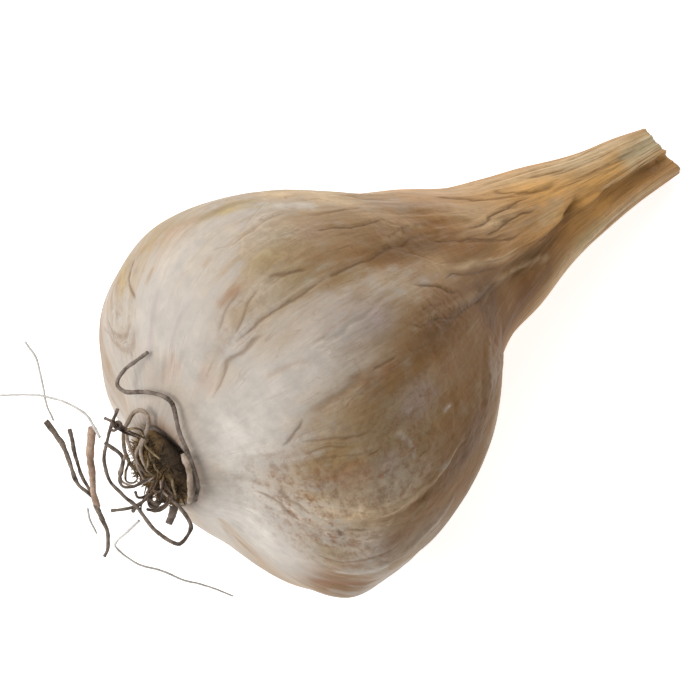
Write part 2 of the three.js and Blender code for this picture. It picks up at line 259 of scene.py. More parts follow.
# ---------------------------------------------------------------- folds, creases, stains, painted shade and painted highlights
# The skin's tones, each laid over the ones before it. "warm" and "neck" follow the bulb's form, and the
# others are placed by the marks and patches.
SKIN_TONES = {
    "warm": "#bfa37e",
    "tan": "#a78b69",
    "drab": "#977d58",
    "olive": "#a08b62",
    "lilac": "#ac9d9c",
    "ash": "#8d7d6c",
    "neck": "#c0925f",
    "rose": "#b39582",
    "yellow": "#b9a06a",
    "honey": "#dfa860",
    "amber": "#986730",
    "umber": "#866135",
    "rust": "#8e5f38",
    "sage": "#c9b793",
    # cream and chalk: paler skin, and painted highlight where they lie along crests and ridges
    "cream": "#d8bb92",
    "chalk": "#d3cbc1",
    # line: the dark of the folds, partly stain and partly painted shade
    "line": "#634322",
}
# Each mark follows a route of (turn, along): its tone, how strong it is, its half width in mm, how far it
# rises over the skin in mm, the height of a lip beside it in mm, and the route.
# Line marks darken the folds with stain and painted shade; cream and chalk marks on crests add painted
# highlight.
MARKS = [
    # the upper clove: its pair of creases, and the stained band on its shoulder
    ("line", 0.38, 0.29, -0.16, 0.08, [(46, 18), (46, 20), (46, 22), (47, 24), (48, 26), (48, 28.5)]),
    ("line", 0.2, 0.26, -0.1, 0.04, [(49, 16.5), (46, 18.5)]),
    ("olive", 0.9, 1.2, 0, 0, [(72, 17.5), (66, 19.5), (62, 22.5), (62, 25), (60, 27), (58, 29.5)]),
    ("yellow", 0.8, 0.7, 0, 0, [(61, 21.5), (58, 25), (55, 27), (53, 30.5)]),
    ("rose", 0.49, 1.1, 0, 0, [(72, 15.5), (68, 18), (64, 20.5)]),
    ("tan", 0.9, 1.2, 0, 0, [(84, 12.5), (80, 14), (77, 16), (75, 18.5)]),
    ("rose", 0.49, 1.2, 0, 0, [(65, 28.5), (61, 32.5), (56, 36.5)]),
    ("chalk", 0.6, 1.4, 0, 0, [(56, 26), (51, 31), (46, 34)]),
    ("line", 0.8, 0.29, -0.23, 0.08, [(83, 13), (82, 11), (81, 10), (78, 9), (73, 8)]),
    ("yellow", 0.3, 0.8, 0, 0, [(90, 13.5), (88, 11), (84, 9), (81, 8.5)]),
    ("line", 0.45, 0.29, -0.13, 0.06, [(101, 8), (95, 6.5), (88, 6), (82, 5.9), (76, 6.3)]),
    ("line", 0.35, 0.29, -0.13, 0.06, [(109, 8), (101, 6.5), (90, 5.4), (82, 5.1), (75, 5.6), (69, 6.5)]),
    ("lilac", 0.5, 0.5, 0.05, 0, [(61, 9.5), (62, 6.5), (64, 4.5)]),
    ("lilac", 0.5, 0.5, 0.05, 0, [(45, 10), (48, 7.5), (49, 5.5)]),
    ("tan", 0.7, 0.5, 0, 0, [(68, 10), (68, 11)]),
    ("tan", 0.5, 0.4, 0, 0, [(48, 14), (48, 15)]),
    ("tan", 0.5, 0.5, 0, 0, [(74, 13), (70, 16)]),
    # the seam of the bare clove, and the stain and painted shade along it
    ("line", 0.5, 0.29, -0.16, 0.06, [(15, 5.5), (18, 7), (20, 8), (18.5, 9.5), (18, 11), (18, 13)]),
    ("line", 0.6, 0.29, -0.23, 0.08, [(22, 9.5), (21, 12), (21, 14), (20, 17), (20, 20.5), (20, 25)]),
    ("line", 0.8, 0.43, -0.33, 0.12, [
        (20, 23), (20, 28), (20, 32), (20.5, 35), (21, 37), (22, 39.5), (24, 42.5), (25, 46),
    ]),
    ("tan", 0.6, 2, 0, 0, [(30, 9.5), (26, 15), (23, 19), (22, 24)]),
    ("olive", 0.5, 1, 0, 0, [(25, 14), (24, 19), (23, 25), (22, 31)]),
    ("olive", 0.7, 1, 0, 0, [(18, 24), (18, 29.5), (18, 35.5)]),
    ("rust", 0.5, 0.7, 0, 0, [(34, 11.5), (33, 13.5)]),
    ("line", 0.4, 0.26, -0.13, 0.04, [(24, 10), (26, 12), (28, 14), (29, 16)]),
    ("line", 0.35, 0.26, -0.13, 0.04, [(29, 9), (31, 11), (32, 14)]),
    ("line", 0.75, 0.26, -0.16, 0.06, [(29, 17.5), (27, 20.5), (25, 23)]),
    ("olive", 0.6, 0.7, 0.1, 0, [(35, 17), (37, 21), (41, 26)]),
    ("rose", 0.42, 0.5, -0.2, 0.1, [(54, 4.2), (47, 5), (38, 6)]),
    ("rose", 0.42, 0.6, -0.1, 0, [(29, 6), (22, 6), (16, 6)]),
    ("tan", 0.45, 0.4, -0.15, 0, [(6, 16), (5, 20.5), (6, 22.5), (5, 25), (6, 27.5), (8, 31)]),
    ("tan", 0.4, 0.4, -0.1, 0, [(6, 9.5), (4, 13.5), (2, 15)]),
    # the fan of folds where the skins gather into the neck
    ("line", 0.5, 0.36, -0.2, 0.04, [(57, 39.5), (52, 43), (52, 46.5)]),
    ("cream", 0.24, 0.68, 0.17, 0, [(54, 40), (62, 46), (64, 50), (58, 54)]),
    ("line", 0.75, 0.4, -0.29, 0.1, [(36, 28), (34, 31), (32, 34), (33, 37), (35, 41)]),
    ("line", 0.4, 0.29, -0.2, 0.08, [(42, 30), (41, 35), (44, 40)]),
    ("cream", 0.45, 0.56, 0.21, 0, [(23, 36), (27, 40.5), (30, 44), (29, 48)]),
    ("amber", 1, 1.7, -0.06, 0, [(19.5, 38), (18, 42), (16, 46), (11, 52), (8, 57)]),
    ("line", 0.6, 0.43, -0.2, 0, [(22, 44), (15, 51), (10, 56.5), (8, 61)]),
    ("yellow", 0.7, 0.5, 0.1, 0, [(35, 46), (33, 51.5), (30, 57)]),
    ("rose", 0.52, 1.3, 0.2, 0, [(47, 41), (45, 48), (41, 57)]),
    ("umber", 0.7, 0.6, -0.18, 0.06, [(40, 40), (38, 46.5), (37, 51)]),
    ("umber", 0.6, 0.5, -0.18, 0.06, [(30, 47), (28, 52), (26, 56)]),
    ("line", 0.55, 0.26, -0.16, 0.08, [(54, 53), (46, 60), (38, 64), (36, 68)]),
    ("line", 0.85, 0.32, -0.29, 0.12, [(21, 53), (24, 57), (27, 60), (29, 62), (30, 65), (31, 68)]),
    ("line", 0.85, 0.32, -0.29, 0.12, [(14, 55), (16, 58.5), (17, 60.5), (18, 63), (17, 67)]),
    ("line", 0.6, 0.29, -0.2, 0.08, [(13, 51), (10, 55.5), (6, 58), (5, 62)]),
    ("cream", 0.36, 0.45, 0.17, 0, [(18, 49), (18, 55), (21, 59), (23, 64)]),
    ("cream", 0.3, 0.38, 0.13, 0, [(9, 58), (11, 62), (12, 66)]),
    # the crest where the upper leaf closes over the bare clove, and its shadow
    ("cream", 0.48, 0.52, 0.21, 0, [(5, 43), (4, 46), (3, 49), (-1, 53.5), (-4, 56.5), (-6, 61)]),
    ("line", 0.85, 0.32, -0.29, 0, [(2, 41), (2, 44), (0, 47), (-3, 51), (-7, 55)]),
    ("line", 0.8, 0.29, -0.26, 0.08, [(6, 35.5), (2, 39), (-2, 40.5), (-4, 43)]),
    ("amber", 0.85, 1.1, 0, 0, [(-2, 41.5), (-4, 45.5), (-6, 50), (-8, 54)]),
    ("cream", 0.42, 0.45, 0.19, 0, [
        (-6, 36), (-6, 40), (-8, 43), (-9, 46.5), (-11, 49.5), (-13, 53), (-18, 57),
    ]),
    ("cream", 0.48, 0.38, 0.17, 0, [(-17, 56), (-22, 60), (-28, 63), (-38, 66)]),
    ("line", 0.85, 0.32, -0.29, 0, [(-7, 33), (-8, 36.5), (-10, 38.5), (-10, 41.5), (-11, 44), (-12, 48)]),
    ("line", 0.45, 0.26, -0.16, 0.08, [(-3, 30), (-6, 32), (-6, 34), (-4, 36), (-4, 39)]),
    ("line", 0.6, 0.43, -0.13, 0.04, [(-8, 33.5), (-9, 36)]),
    ("line", 0.5, 0.36, -0.13, 0.04, [(-2, 34), (-2, 36)]),
    # the streak at the side leaf's edge
    ("rust", 0.4, 0.9, 0, 0, [(-10, 19.5), (-10, 24)]),
    ("line", 0.75, 0.36, -0.2, 0.04, [(-8, 22), (-8, 25)]),
    ("umber", 0.5, 0.8, -0.15, 0.04, [(-11, 11.5), (-9, 14), (-9, 16), (-8, 18), (-8, 20.5)]),
    ("umber", 0.6, 1.2, -0.15, 0.04, [(-10, 22.5), (-12, 25.5), (-14, 29), (-15, 34)]),
    ("tan", 0.8, 1.5, 0, 0, [(-5, 22.5), (-2, 25.5), (-2, 30)]),
    # the wall under the neck
    ("umber", 0.9, 0.7, -0.21, 0.08, [(-25, 44), (-30, 41.5), (-35, 39.5), (-39, 38.5), (-45, 37)]),
    ("rust", 0.9, 1, -0.12, 0.04, [(-39, 37.2), (-44, 36.5), (-50, 36)]),
    ("rust", 0.8, 0.8, -0.12, 0.04, [(-25, 50), (-31, 48), (-35, 44.5)]),
    ("chalk", 0.35, 0.5, 0.3, 0, [(-28, 45), (-34, 42), (-42, 40)]),
    ("ash", 0.8, 1.5, 0, 0, [(-57, 40), (-62, 37), (-67, 33.5), (-70, 29), (-72, 24)]),
    # crumples and stains of the lower flank, with painted shade in its creases and painted highlights on its
    # ridges
    ("line", 0.6, 0.29, -0.16, 0.08, [(-17, 8), (-14, 9.5), (-11, 11)]),
    ("line", 0.45, 0.26, -0.13, 0.08, [(-17, 9.5), (-20, 12.5), (-21, 14), (-22, 17)]),
    ("line", 0.45, 0.26, -0.13, 0.08, [(-22, 9.5), (-22, 12), (-24, 14.5)]),
    ("line", 0.3, 0.26, -0.13, 0.08, [(-25, 10), (-26, 13), (-27, 16)]),
    ("line", 0.7, 0.43, 0, 0, [(-28, 16), (-28, 17)]),
    ("ash", 0.5, 0.35, -0.1, 0, [(-18, 4.5), (-20, 6.5), (-19, 8.5)]),
    ("ash", 0.5, 0.35, -0.1, 0, [(-34, 3.5), (-34, 5.5), (-36, 6.5)]),
    ("line", 0.65, 0.29, -0.2, 0.08, [(-41, 6), (-46, 7), (-50, 7.5), (-54, 8.2)]),
    ("line", 0.5, 0.29, -0.13, 0.08, [(-37, 7), (-43, 7.5), (-47, 8.7)]),
    ("rust", 0.4, 0.5, -0.12, 0.06, [(-29, 9.5), (-32, 11), (-31, 12.5), (-29, 13.5), (-30, 15.5)]),
    ("rose", 0.49, 1.1, 0, 0, [(-33, 11.5), (-33, 14.5)]),
    ("yellow", 0.5, 0.6, 0, 0, [(-39, 9), (-39, 10)]),
    ("cream", 0.57, 0.38, 0.17, 0, [
        (-48, 10.5), (-48, 13.5), (-47, 16), (-47, 18), (-47, 20), (-46, 23), (-45, 25.5), (-44, 28),
        (-42, 33),
    ]),
    ("cream", 0.3, 0.38, 0.1, 0, [(-42, 10), (-44, 12), (-44, 14), (-44, 17), (-43, 20)]),
    ("umber", 0.85, 0.6, -0.21, 0, [(-51, 12), (-51, 15), (-51, 18), (-51, 21), (-50, 25)]),
    ("line", 0.7, 0.29, 0, 0, [(-53, 12.5), (-53, 13.5)]),
    ("chalk", 0.5, 0.45, 0.1, 0, [(-56, 10.2), (-56, 10.9)]),
    ("line", 0.3, 0.26, -0.13, 0, [(-58, 9.6), (-54.5, 9.7), (-54, 11), (-56, 12), (-59, 11.5)]),
    ("line", 0.6, 0.36, -0.2, 0.1, [(-69, 8.5), (-68, 11.5), (-66, 13), (-64, 15.5), (-62, 19)]),
    ("olive", 0.6, 1.4, 0, 0, [(-64, 9), (-63, 12), (-60, 15)]),
    ("chalk", 0.7, 0.5, 0.25, 0, [(-76, 11), (-71, 14), (-68, 17)]),
    ("chalk", 0.4, 0.5, 0.25, 0, [(-68, 18), (-65, 24), (-62, 30)]),
    ("rust", 0.95, 0.8, -0.09, 0.04, [(-94, 11), (-88, 12), (-86, 13.5), (-81, 15.5)]),
    ("umber", 0.8, 1.1, 0, 0, [(-105, 12.5), (-94, 14), (-84, 16), (-76, 18)]),
    ("umber", 0.6, 1.8, -0.06, 0, [(-58, 15), (-60, 20), (-60, 26)]),
    ("rose", 0.35, 0.5, -0.2, 0.1, [(-124, 7), (-114, 8), (-108, 9.5)]),
    ("umber", 0.85, 1.1, -0.12, 0.04, [(-42, 29.5), (-48, 32), (-54, 31)]),
    ("rust", 0.6, 0.8, 0, 0, [(-48, 29), (-50, 33)]),
    ("line", 0.8, 0.36, 0, 0, [(-49, 21.5), (-49, 22.7)]),
    ("chalk", 0.45, 0.35, 0.05, 0, [(-23, 23.7), (-23, 24.3)]),
    ("chalk", 0.45, 0.35, 0.05, 0, [(-31, 30.2), (-31, 30.9)]),
    ("chalk", 0.5, 0.4, 0.05, 0, [(-44, 26.3), (-44, 27.8)]),
    ("line", 0.6, 0.26, 0, 0, [(-36, 23.1), (-36, 23.9)]),
    ("chalk", 0.4, 0.5, 0.15, 0, [(-25, 21), (-32, 22.5), (-37, 22)]),
    ("lilac", 0.6, 0.9, 0.1, 0, [(-18, 27), (-22, 29), (-26, 30)]),
    # the neck
    ("honey", 0.6, 2, 0, 0, [(62, 62), (58, 66), (52, 70), (44, 75), (38, 79)]),
    ("line", 0.6, 0.26, -0.2, 0.08, [(50, 62.5), (40, 66), (35, 69), (34, 73)]),
    ("line", 0.45, 0.26, -0.2, 0.08, [(60, 68), (50, 73), (46, 80), (44, 86)]),
    ("line", 0.4, 0.26, -0.2, 0.08, [(26, 70), (28, 76), (26, 82), (20, 88)]),
    ("cream", 0.54, 0.9, 0.08, 0, [(3, 65), (9, 69), (16, 72)]),
    ("rose", 0.56, 0.9, 0, 0, [(20, 74), (15, 71.5)]),
    ("amber", 0.95, 1.6, -0.12, 0, [(-16, 56), (-20, 60), (-24, 65), (-22, 70), (-8, 74)]),
    ("amber", 0.4, 1.6, 0, 0, [(-34, 68), (-30, 73), (-12, 78)]),
    ("cream", 0.6, 0.26, 0.13, 0, [(-2, 78), (-4, 81), (-4, 85), (-6, 88), (-9, 91)]),
    ("umber", 0.4, 1.3, -0.12, 0, [(-14, 76), (-16, 82), (-20, 90)]),
    ("umber", 0.3, 1.2, 0, 0, [(-28, 78), (-32, 84), (-34, 91)]),
    ("yellow", 0.9, 0.9, 0, 0, [(-55, 71.5), (-60, 77)]),
    ("ash", 0.6, 0.6, 0, 0, [(-62, 78), (-64, 84), (-62, 91)]),
    ("amber", 0.95, 1.8, 0, 0, [(-40, 58), (-42, 62), (-46, 66)]),
    ("lilac", 0.7, 0.9, 0, 0, [(-24, 55), (-24, 57)]),
    ("lilac", 0.6, 0.8, 0, 0, [(-27, 61.5), (-28, 63)]),
    ("umber", 0.7, 1.1, -0.12, 0.08, [(-18, 53), (-27, 52), (-37, 49)]),
    ("sage", 1, 1.8, 0, 0, [(26, 86), (28, 91)]),
    ("honey", 0.9, 1.8, 0, 0, [(36, 78), (36, 85)]),
    ("line", 0.4, 0.36, -0.23, 0.08, [(62, 60), (66, 70), (70, 82), (72, 91)]),
    ("line", 0.4, 0.36, -0.23, 0.08, [(-64, 54), (-70, 68), (-76, 80), (-76, 91)]),
    # the side that lies down
    ("line", 0.5, 0.43, -0.26, 0.12, [(118, 20), (124, 34), (122, 46), (128, 60), (126, 84)]),
    ("line", 0.5, 0.43, -0.26, 0.12, [(152, 30), (148, 44), (154, 58), (150, 80)]),
    ("line", 0.5, 0.43, -0.26, 0.12, [(-170, 24), (-176, 40), (-168, 54), (-172, 86)]),
    ("line", 0.5, 0.43, -0.26, 0.12, [(-112, 12), (-108, 26), (-116, 40), (-110, 56), (-114, 84)]),
    ("line", 0.4, 0.36, -0.23, 0.1, [(-136, 26), (-140, 40), (-134, 56)]),
    ("line", 0.4, 0.29, -0.2, 0.08, [(96, 24), (92, 36), (96, 46), (90, 60)]),
    ("cream", 0.3, 0.52, 0.17, 0, [(136, 40), (132, 52), (138, 66)]),
    ("cream", 0.3, 0.52, 0.17, 0, [(-96, 38), (-92, 48), (-98, 60)]),
    ("umber", 0.6, 1.3, -0.06, 0.04, [(170, 22), (164, 34), (168, 50)]),
    ("rust", 0.5, 0.9, 0, 0, [(-150, 20), (-146, 32)]),
]
# A ledge drops away on the lower-flank side of its route, and comes back up over its reach: the drop and
# the reach in mm, how dark the painted shade on the ground under it is, and the route.
LEDGES = [
    (0.7, 5, 0.5, [(-8, 54), (-12, 58), (-14, 61.5), (-14, 65), (-9, 69), (2, 72), (14, 74.5)]),
    (0.7, 4, 0.2, [(-1, 77), (-4, 81), (-4, 85), (-6, 88), (-9, 91.5)]),
    (0.45, 4, 0.3, [(-10, 44), (-12, 49), (-14, 53), (-19, 57), (-24, 61)]),
    (0.35, 5, 0.2, [(-48, 11), (-48, 16), (-49, 21), (-46, 27), (-43, 33)]),
    (0.4, 5, 0.35, [(24, 37), (27, 40), (30, 44), (30, 48)]),
]

# soft patches of each tone: (turn, along, half width in degrees, half length in mm, strength)
PATCHES = {
    "chalk": [
        (-8, 6, 14, 3.5, 0.7), (-70, 4.5, 36, 3, 0.8), (-84, 8, 12, 2.5, 0.6), (58, 15, 8, 5, 0.3),
        (52, 25, 6, 4, 0.35), (2, 16, 8, 6, 0.45), (4, 4.5, 40, 1.5, 0.5), (40, 22, 5, 4, 0.3),
        (-40, 17, 6, 7, 0.3), (-58, 14, 8, 3, 0.3), (-66, 24, 6, 6, 0.3), (28, 16, 5, 3, 0.3),
        (-40, 44, 6, 4, 0.35),
    ],
    "tan": [
        (30, 16, 8, 6, 0.5), (34, 23, 11, 6, 0.75), (40, 31, 13, 7, 0.95), (34, 41, 14, 8, 0.9),
        (28, 33, 8, 7, 0.8), (62, 38, 12, 7, 0.6), (8, 43, 10, 5, 0.7), (-6, 36, 8, 7, 0.75),
        (-14, 12, 6, 4, 0.5), (82, 17, 10, 5, 0.35), (98, 10, 12, 3, 0.35), (-36, 7.5, 8, 1.5, 0.5),
        (22, 7, 8, 1.5, 0.3), (40, 4, 30, 1.2, 0.4), (-20, 3.4, 30, 1, 0.4), (-2, 30, 7, 10, 0.9),
        (-32, 42, 12, 4, 0.5), (-45, 24, 8, 8, 0.4), (45, 54, 10, 8, 0.5), (76, 18, 10, 6, 0.25),
        (87, 11, 8, 3, 0.3), (74, 17, 8, 4, 0.5), (68, 30, 8, 8, 0.6), (-28, 26, 7, 4, 0.4),
    ],
    "drab": [
        (-30, 13, 16, 4, 0.6), (-24, 20, 14, 7, 0.75), (-30, 30, 22, 9, 0.95), (-52, 17, 12, 6, 0.7),
        (-56, 28, 14, 9, 0.95), (-66, 20, 8, 8, 0.3), (-20, 40, 18, 6, 0.9), (-78, 22, 14, 8, 0.35),
        (-30, 10, 10, 3, 0.5), (-68, 10, 10, 2.5, 0.5), (-84, 13, 12, 3, 0.7), (88, 11, 12, 5, 0.2),
    ],
    "umber": [
        (-34, 41, 22, 5, 0.6), (-56, 33, 12, 6, 0.5), (-14, 44, 8, 5, 0.5), (24, 36, 5, 5, 0.35),
        (34, 34, 6, 5, 0.35), (-96, 13, 8, 3, 0.5), (-17, 50, 7, 4, 1), (19, 37, 3, 4, 0.7),
        (-13, 26, 5, 7, 0.65), (-58, 36, 12, 6, 0.8), (-25, 64, 10, 5, 0.8), (30, 38, 6, 5, 0.2),
        (-32, 50, 18, 7, 0.9), (-20, 55, 10, 5, 0.6), (33, 40, 8, 5, 0.35), (23, 26, 5, 5, 0.35),
        (-44, 37, 12, 6, 0.7), (-13, 36, 7, 6, 0.55), (-38, 13.5, 8, 3, 0.6), (-92, 14, 10, 4, 0.4),
        (16, 44, 9, 8, 0.5), (20, 40, 5, 6, 0.35), (-10, 47, 9, 6, 0.75), (-22, 47, 9, 5, 0.5),
        (0, 50, 10, 6, 0.45), (53, 46, 12, 8, 0.25), (34, 56, 8, 5, 0.35), (-30, 32, 12, 6, 0.4),
        (-46, 31, 12, 8, 0.35), (-52, 22, 7, 5, 0.35), (-80, 12, 7, 3, 0.8), (-20, 60, 6, 4, 0.45),
        (-30, 64, 8, 4, 0.45), (-12, 34, 6, 5, 0.3), (-14, 49, 12, 7, 0.9), (-18, 62, 9, 7, 0.6),
        (-48, 34, 10, 8, 0.5), (-50, 22, 6, 5, 0.5), (20, 41, 5, 6, 0.5), (40, 46, 16, 6, 0.3),
        (-33, 34, 7, 7, 0.3), (-36, 62, 10, 6, 0.4), (-56, 8, 6, 2, 0.25), (-24, 8, 5, 2, 0.2),
        (4, 42, 6, 5, 0.25), (-4, 48, 8, 4, 0.5), (-60, 22, 6, 5, 0.35), (-70, 28, 7, 6, 0.5),
        (-56, 33, 8, 8, 0.4), (-80, 14, 8, 3, 0.4), (-96, 30, 9, 10, 0.4), (98, 24, 8, 12, 0.4),
    ],
    "olive": [
        (34, 19, 6, 3.5, 0.5), (38, 25, 6, 3, 0.6), (12, 14, 5, 3, 0.2), (-3, 28, 3, 4, 0.35),
        (2, 27, 5, 5, 0.5), (24, 19, 5, 5, 0.5), (90, 18, 8, 10, 0.3), (78, 20, 6, 8, 0.5),
    ],
    "yellow": [
        (36, 20, 4, 2.5, 0.3),
    ],
    "rose": [
        (36, 28, 4, 3, 0.5), (62, 60, 14, 8, 0.5), (58, 36, 8, 6, 0.4), (-20, 36, 8, 6, 0.3),
    ],
    "amber": [
        (14, 46, 7, 6, 0.5), (-40, 70, 16, 7, 0.2), (-24, 82, 20, 14, 0.2), (-70, 60, 20, 12, 0.1),
        (-6, 35, 6, 7, 0.45), (4, 40, 6, 4, 0.3), (-46, 54, 14, 6, 0.7), (18, 38, 5, 7, 0.6),
        (31, 47, 7, 8, 0.7), (-14, 58, 12, 5, 0.5), (-34, 54, 16, 8, 0.8), (18, 47, 8, 8, 0.5),
        (8, 52, 8, 6, 0.5), (-54, 31, 10, 6, 0.4), (22, 30, 5, 6, 0.3), (0, 50, 24, 6, 0.5),
        (-62, 30, 8, 6, 0.3), (-44, 55, 10, 6, 0.5), (-48, 28, 8, 8, 0.3), (30, 44, 12, 8, 0.3),
    ],
    "lilac": [
        (6, 21, 9, 9, 0.35), (2, 26, 5, 4, 0.4), (-63, 15, 5, 3, 0.4), (-80, 7.5, 5, 2, 0.6),
        (-22, 26, 6, 4, 0.5), (-33, 18, 4, 3, 0.35),
    ],
    "cream": [
        (62, 31, 6, 3, 0.4), (8, 88, 8, 5, 0.5), (-46, 15, 7, 6, 0.55), (20, 58, 8, 5, 0.5),
        (-66, 72, 14, 14, 0.5), (48, 78, 16, 7, 0.5), (34, 80, 12, 5, 0.3), (36, 57, 8, 5, 0.5),
        (-70, 76, 14, 12, 0.5), (58, 37, 8, 5, 0.4), (-16, 87, 10, 4, 0.7), (58, 82, 10, 6, 0.5),
        (64, 68, 14, 14, 0.55), (64, 82, 12, 8, 0.5), (-70, 80, 12, 10, 0.4), (36, 41, 8, 4, 0.3),
        (8, 42, 6, 3, 0.3), (62, 35, 7, 6, 0.3), (50, 37, 5, 4, 0.4),
    ],
    "honey": [
        (30, 73, 20, 6, 0.6), (62, 66, 16, 9, 0.3), (52, 66, 14, 8, 0.4), (-32, 75, 12, 4, 0.8),
        (15, 84, 14, 5, 0.7), (-18, 80, 24, 12, 0.6), (-20, 84, 26, 10, 0.5), (40, 71, 14, 6, 0.6),
        (0, 72, 10, 5, 0.7), (22, 83, 10, 4, 0.5), (50, 80, 12, 7, 0.3), (-20, 78, 12, 12, 0.5),
        (28, 80, 14, 6, 0.6),
    ],
    "sage": [
        (30, 90, 22, 2.5, 0.7),
    ],
    "rust": [
        (-22, 48, 6, 4, 0.6), (-46, 57, 12, 8, 0.9), (-20, 48, 10, 4, 0.5), (-60, 22, 8, 10, 0.25),
        (-6, 38, 6, 6, 0.3), (-25, 49, 8, 3, 0.4), (-22, 36, 6, 4, 0.25),
    ],
    # the darkest tone: stain, and painted shade in the hollows under the folds and ledges
    "line": [
        (-18, 49, 9, 4, 0.4), (-26, 62, 9, 5, 0.35), (-42, 60, 9, 8, 0.35), (-48, 32, 9, 8, 0.3),
        (20, 41, 5, 6, 0.25), (10, 53, 6, 4, 0.3), (10, 64, 6, 4, 0.25), (50, 60, 10, 8, 0.1),
        (-33, 40, 12, 4, 0.2), (-9, 42, 6, 8, 0.4), (-13, 49, 9, 3.5, 0.45), (-27, 48.5, 8, 3.5, 0.45),
        (-46, 35, 9, 5, 0.3), (-46, 57, 12, 7, 0.2), (-66, 57, 8, 5, 0.4), (-10, 35, 5, 6, 0.3),
        (19, 45, 5, 6, 0.25), (-84, 14, 8, 4, 0.25), (-53, 33, 6, 7, 0.3), (-14, 49, 12, 4, 0.35),
        (-50, 60, 10, 8, 0.3), (-42, 51, 9, 4, 0.4), (-8, 35, 6, 7, 0.35), (-44, 36, 7, 4, 0.3),
        (-50, 27, 6, 6, 0.25), (-98, 32, 6, 8, 0.2), (-22, 47, 8, 3.5, 0.35), (20, 40, 4, 6, 0.15),
    ],
}


BELLY_DEGREE = 0.4      # mm round the belly in one degree of turn, near enough for a route's length


def over_route(turn, along, degree, route):
    """signed distance over the skin from a route in mm, and the share of the route passed"""
    nearest = np.full(along.shape, np.inf)
    side = np.ones_like(along)
    passed = np.zeros_like(along)
    travelled = 0
    for (t0, a0), (t1, a1) in zip(route[:-1], route[1:]):
        from_turn = away(turn, t0) * degree
        from_along = along - a0
        run_turn = (t1 - t0) * degree
        run_along = a1 - a0
        reach = run_turn ** 2 + run_along ** 2
        share = np.clip((from_turn * run_turn + from_along * run_along) / reach, 0, 1)
        apart = np.hypot(from_turn - share * run_turn, from_along - share * run_along)
        closer = apart < nearest
        nearest = np.where(closer, apart, nearest)
        crossing = np.where(from_turn * run_along < from_along * run_turn, -1, 1)
        side = np.where(closer, crossing, side)
        length = math.hypot((t1 - t0) * BELLY_DEGREE, a1 - a0)
        passed = np.where(closer, travelled + share * length, passed)
        travelled += length
    return nearest * side, passed / travelled


def near_route(turn, along, degree, route, margin):
    """where in the grid a route's marks can reach"""
    turns = [t for t, _ in route]
    alongs = [a for _, a in route]
    middle = (min(turns) + max(turns)) / 2
    half = (max(turns) - min(turns)) / 2
    beside = np.maximum(np.abs(away(turn, middle)) - half, 0) * degree < margin
    return np.nonzero(beside & (along > min(alongs) - margin) & (along < max(alongs) + margin))


# how a mark fades over its route: it comes in over the first share of the route, and goes out over the last
MARK_COMES_IN = (-0.02, 0.16)
MARK_GOES_OUT = (0.8, 1.02)
LEDGE_COMES_IN = (-0.02, 0.2)
LEDGE_GOES_OUT = (0.85, 1.02)
# a line's lip stands this many half widths beside it, and is this many wide
LIP_BESIDE = 1.9
LIP_WIDTH = 1.3
# share of its depth that a line presses into the skin, and of its strength that darkens the skin beside it
# with stain and painted shade
LINE_PRESS = 0.5
LINE_SHADE_AND_STAIN = 0.35
# a ledge drops between these distances below its route, and has a raised lip above it: the lip's
# distance and half width in mm, and its height as a share of the drop
LEDGE_EDGE = (-0.15, 0.45)
LEDGE_LIP = 0.6
LEDGE_LIP_SHARE = 0.25
# mm from a line at which it stops darkening the skin, and the distance given where no line is near
CREASE_ENDS = (0.7, 1.3)
CREASE_REACH = 1.5
# rings of stain and painted shade in the root hollow round the plate: (tone, strength, out, half width, turn
# at which it is strongest)
HOLLOW_STAIN_AND_SHADE = (
    ("line", 0.9, 5.8, 1.1, 0),
    ("umber", 0.14, 7.5, 3, 40),
    ("rust", 0.35, 7, 1.1, 0),
)
HOLLOW_END = 8       # mm along


def note_crease(found, spot, apart, strength):
    """keeps the distance to a line, and its strength, where it is nearer than the lines before it"""
    nearer = np.abs(apart) < np.abs(found["crease"][spot])
    reach = 1 - smooth(np.abs(apart), *CREASE_ENDS)
    found["crease"][spot] = np.where(nearer, apart, found["crease"][spot])
    found["crease_depth"][spot] = np.where(nearer, strength * reach, found["crease_depth"][spot])


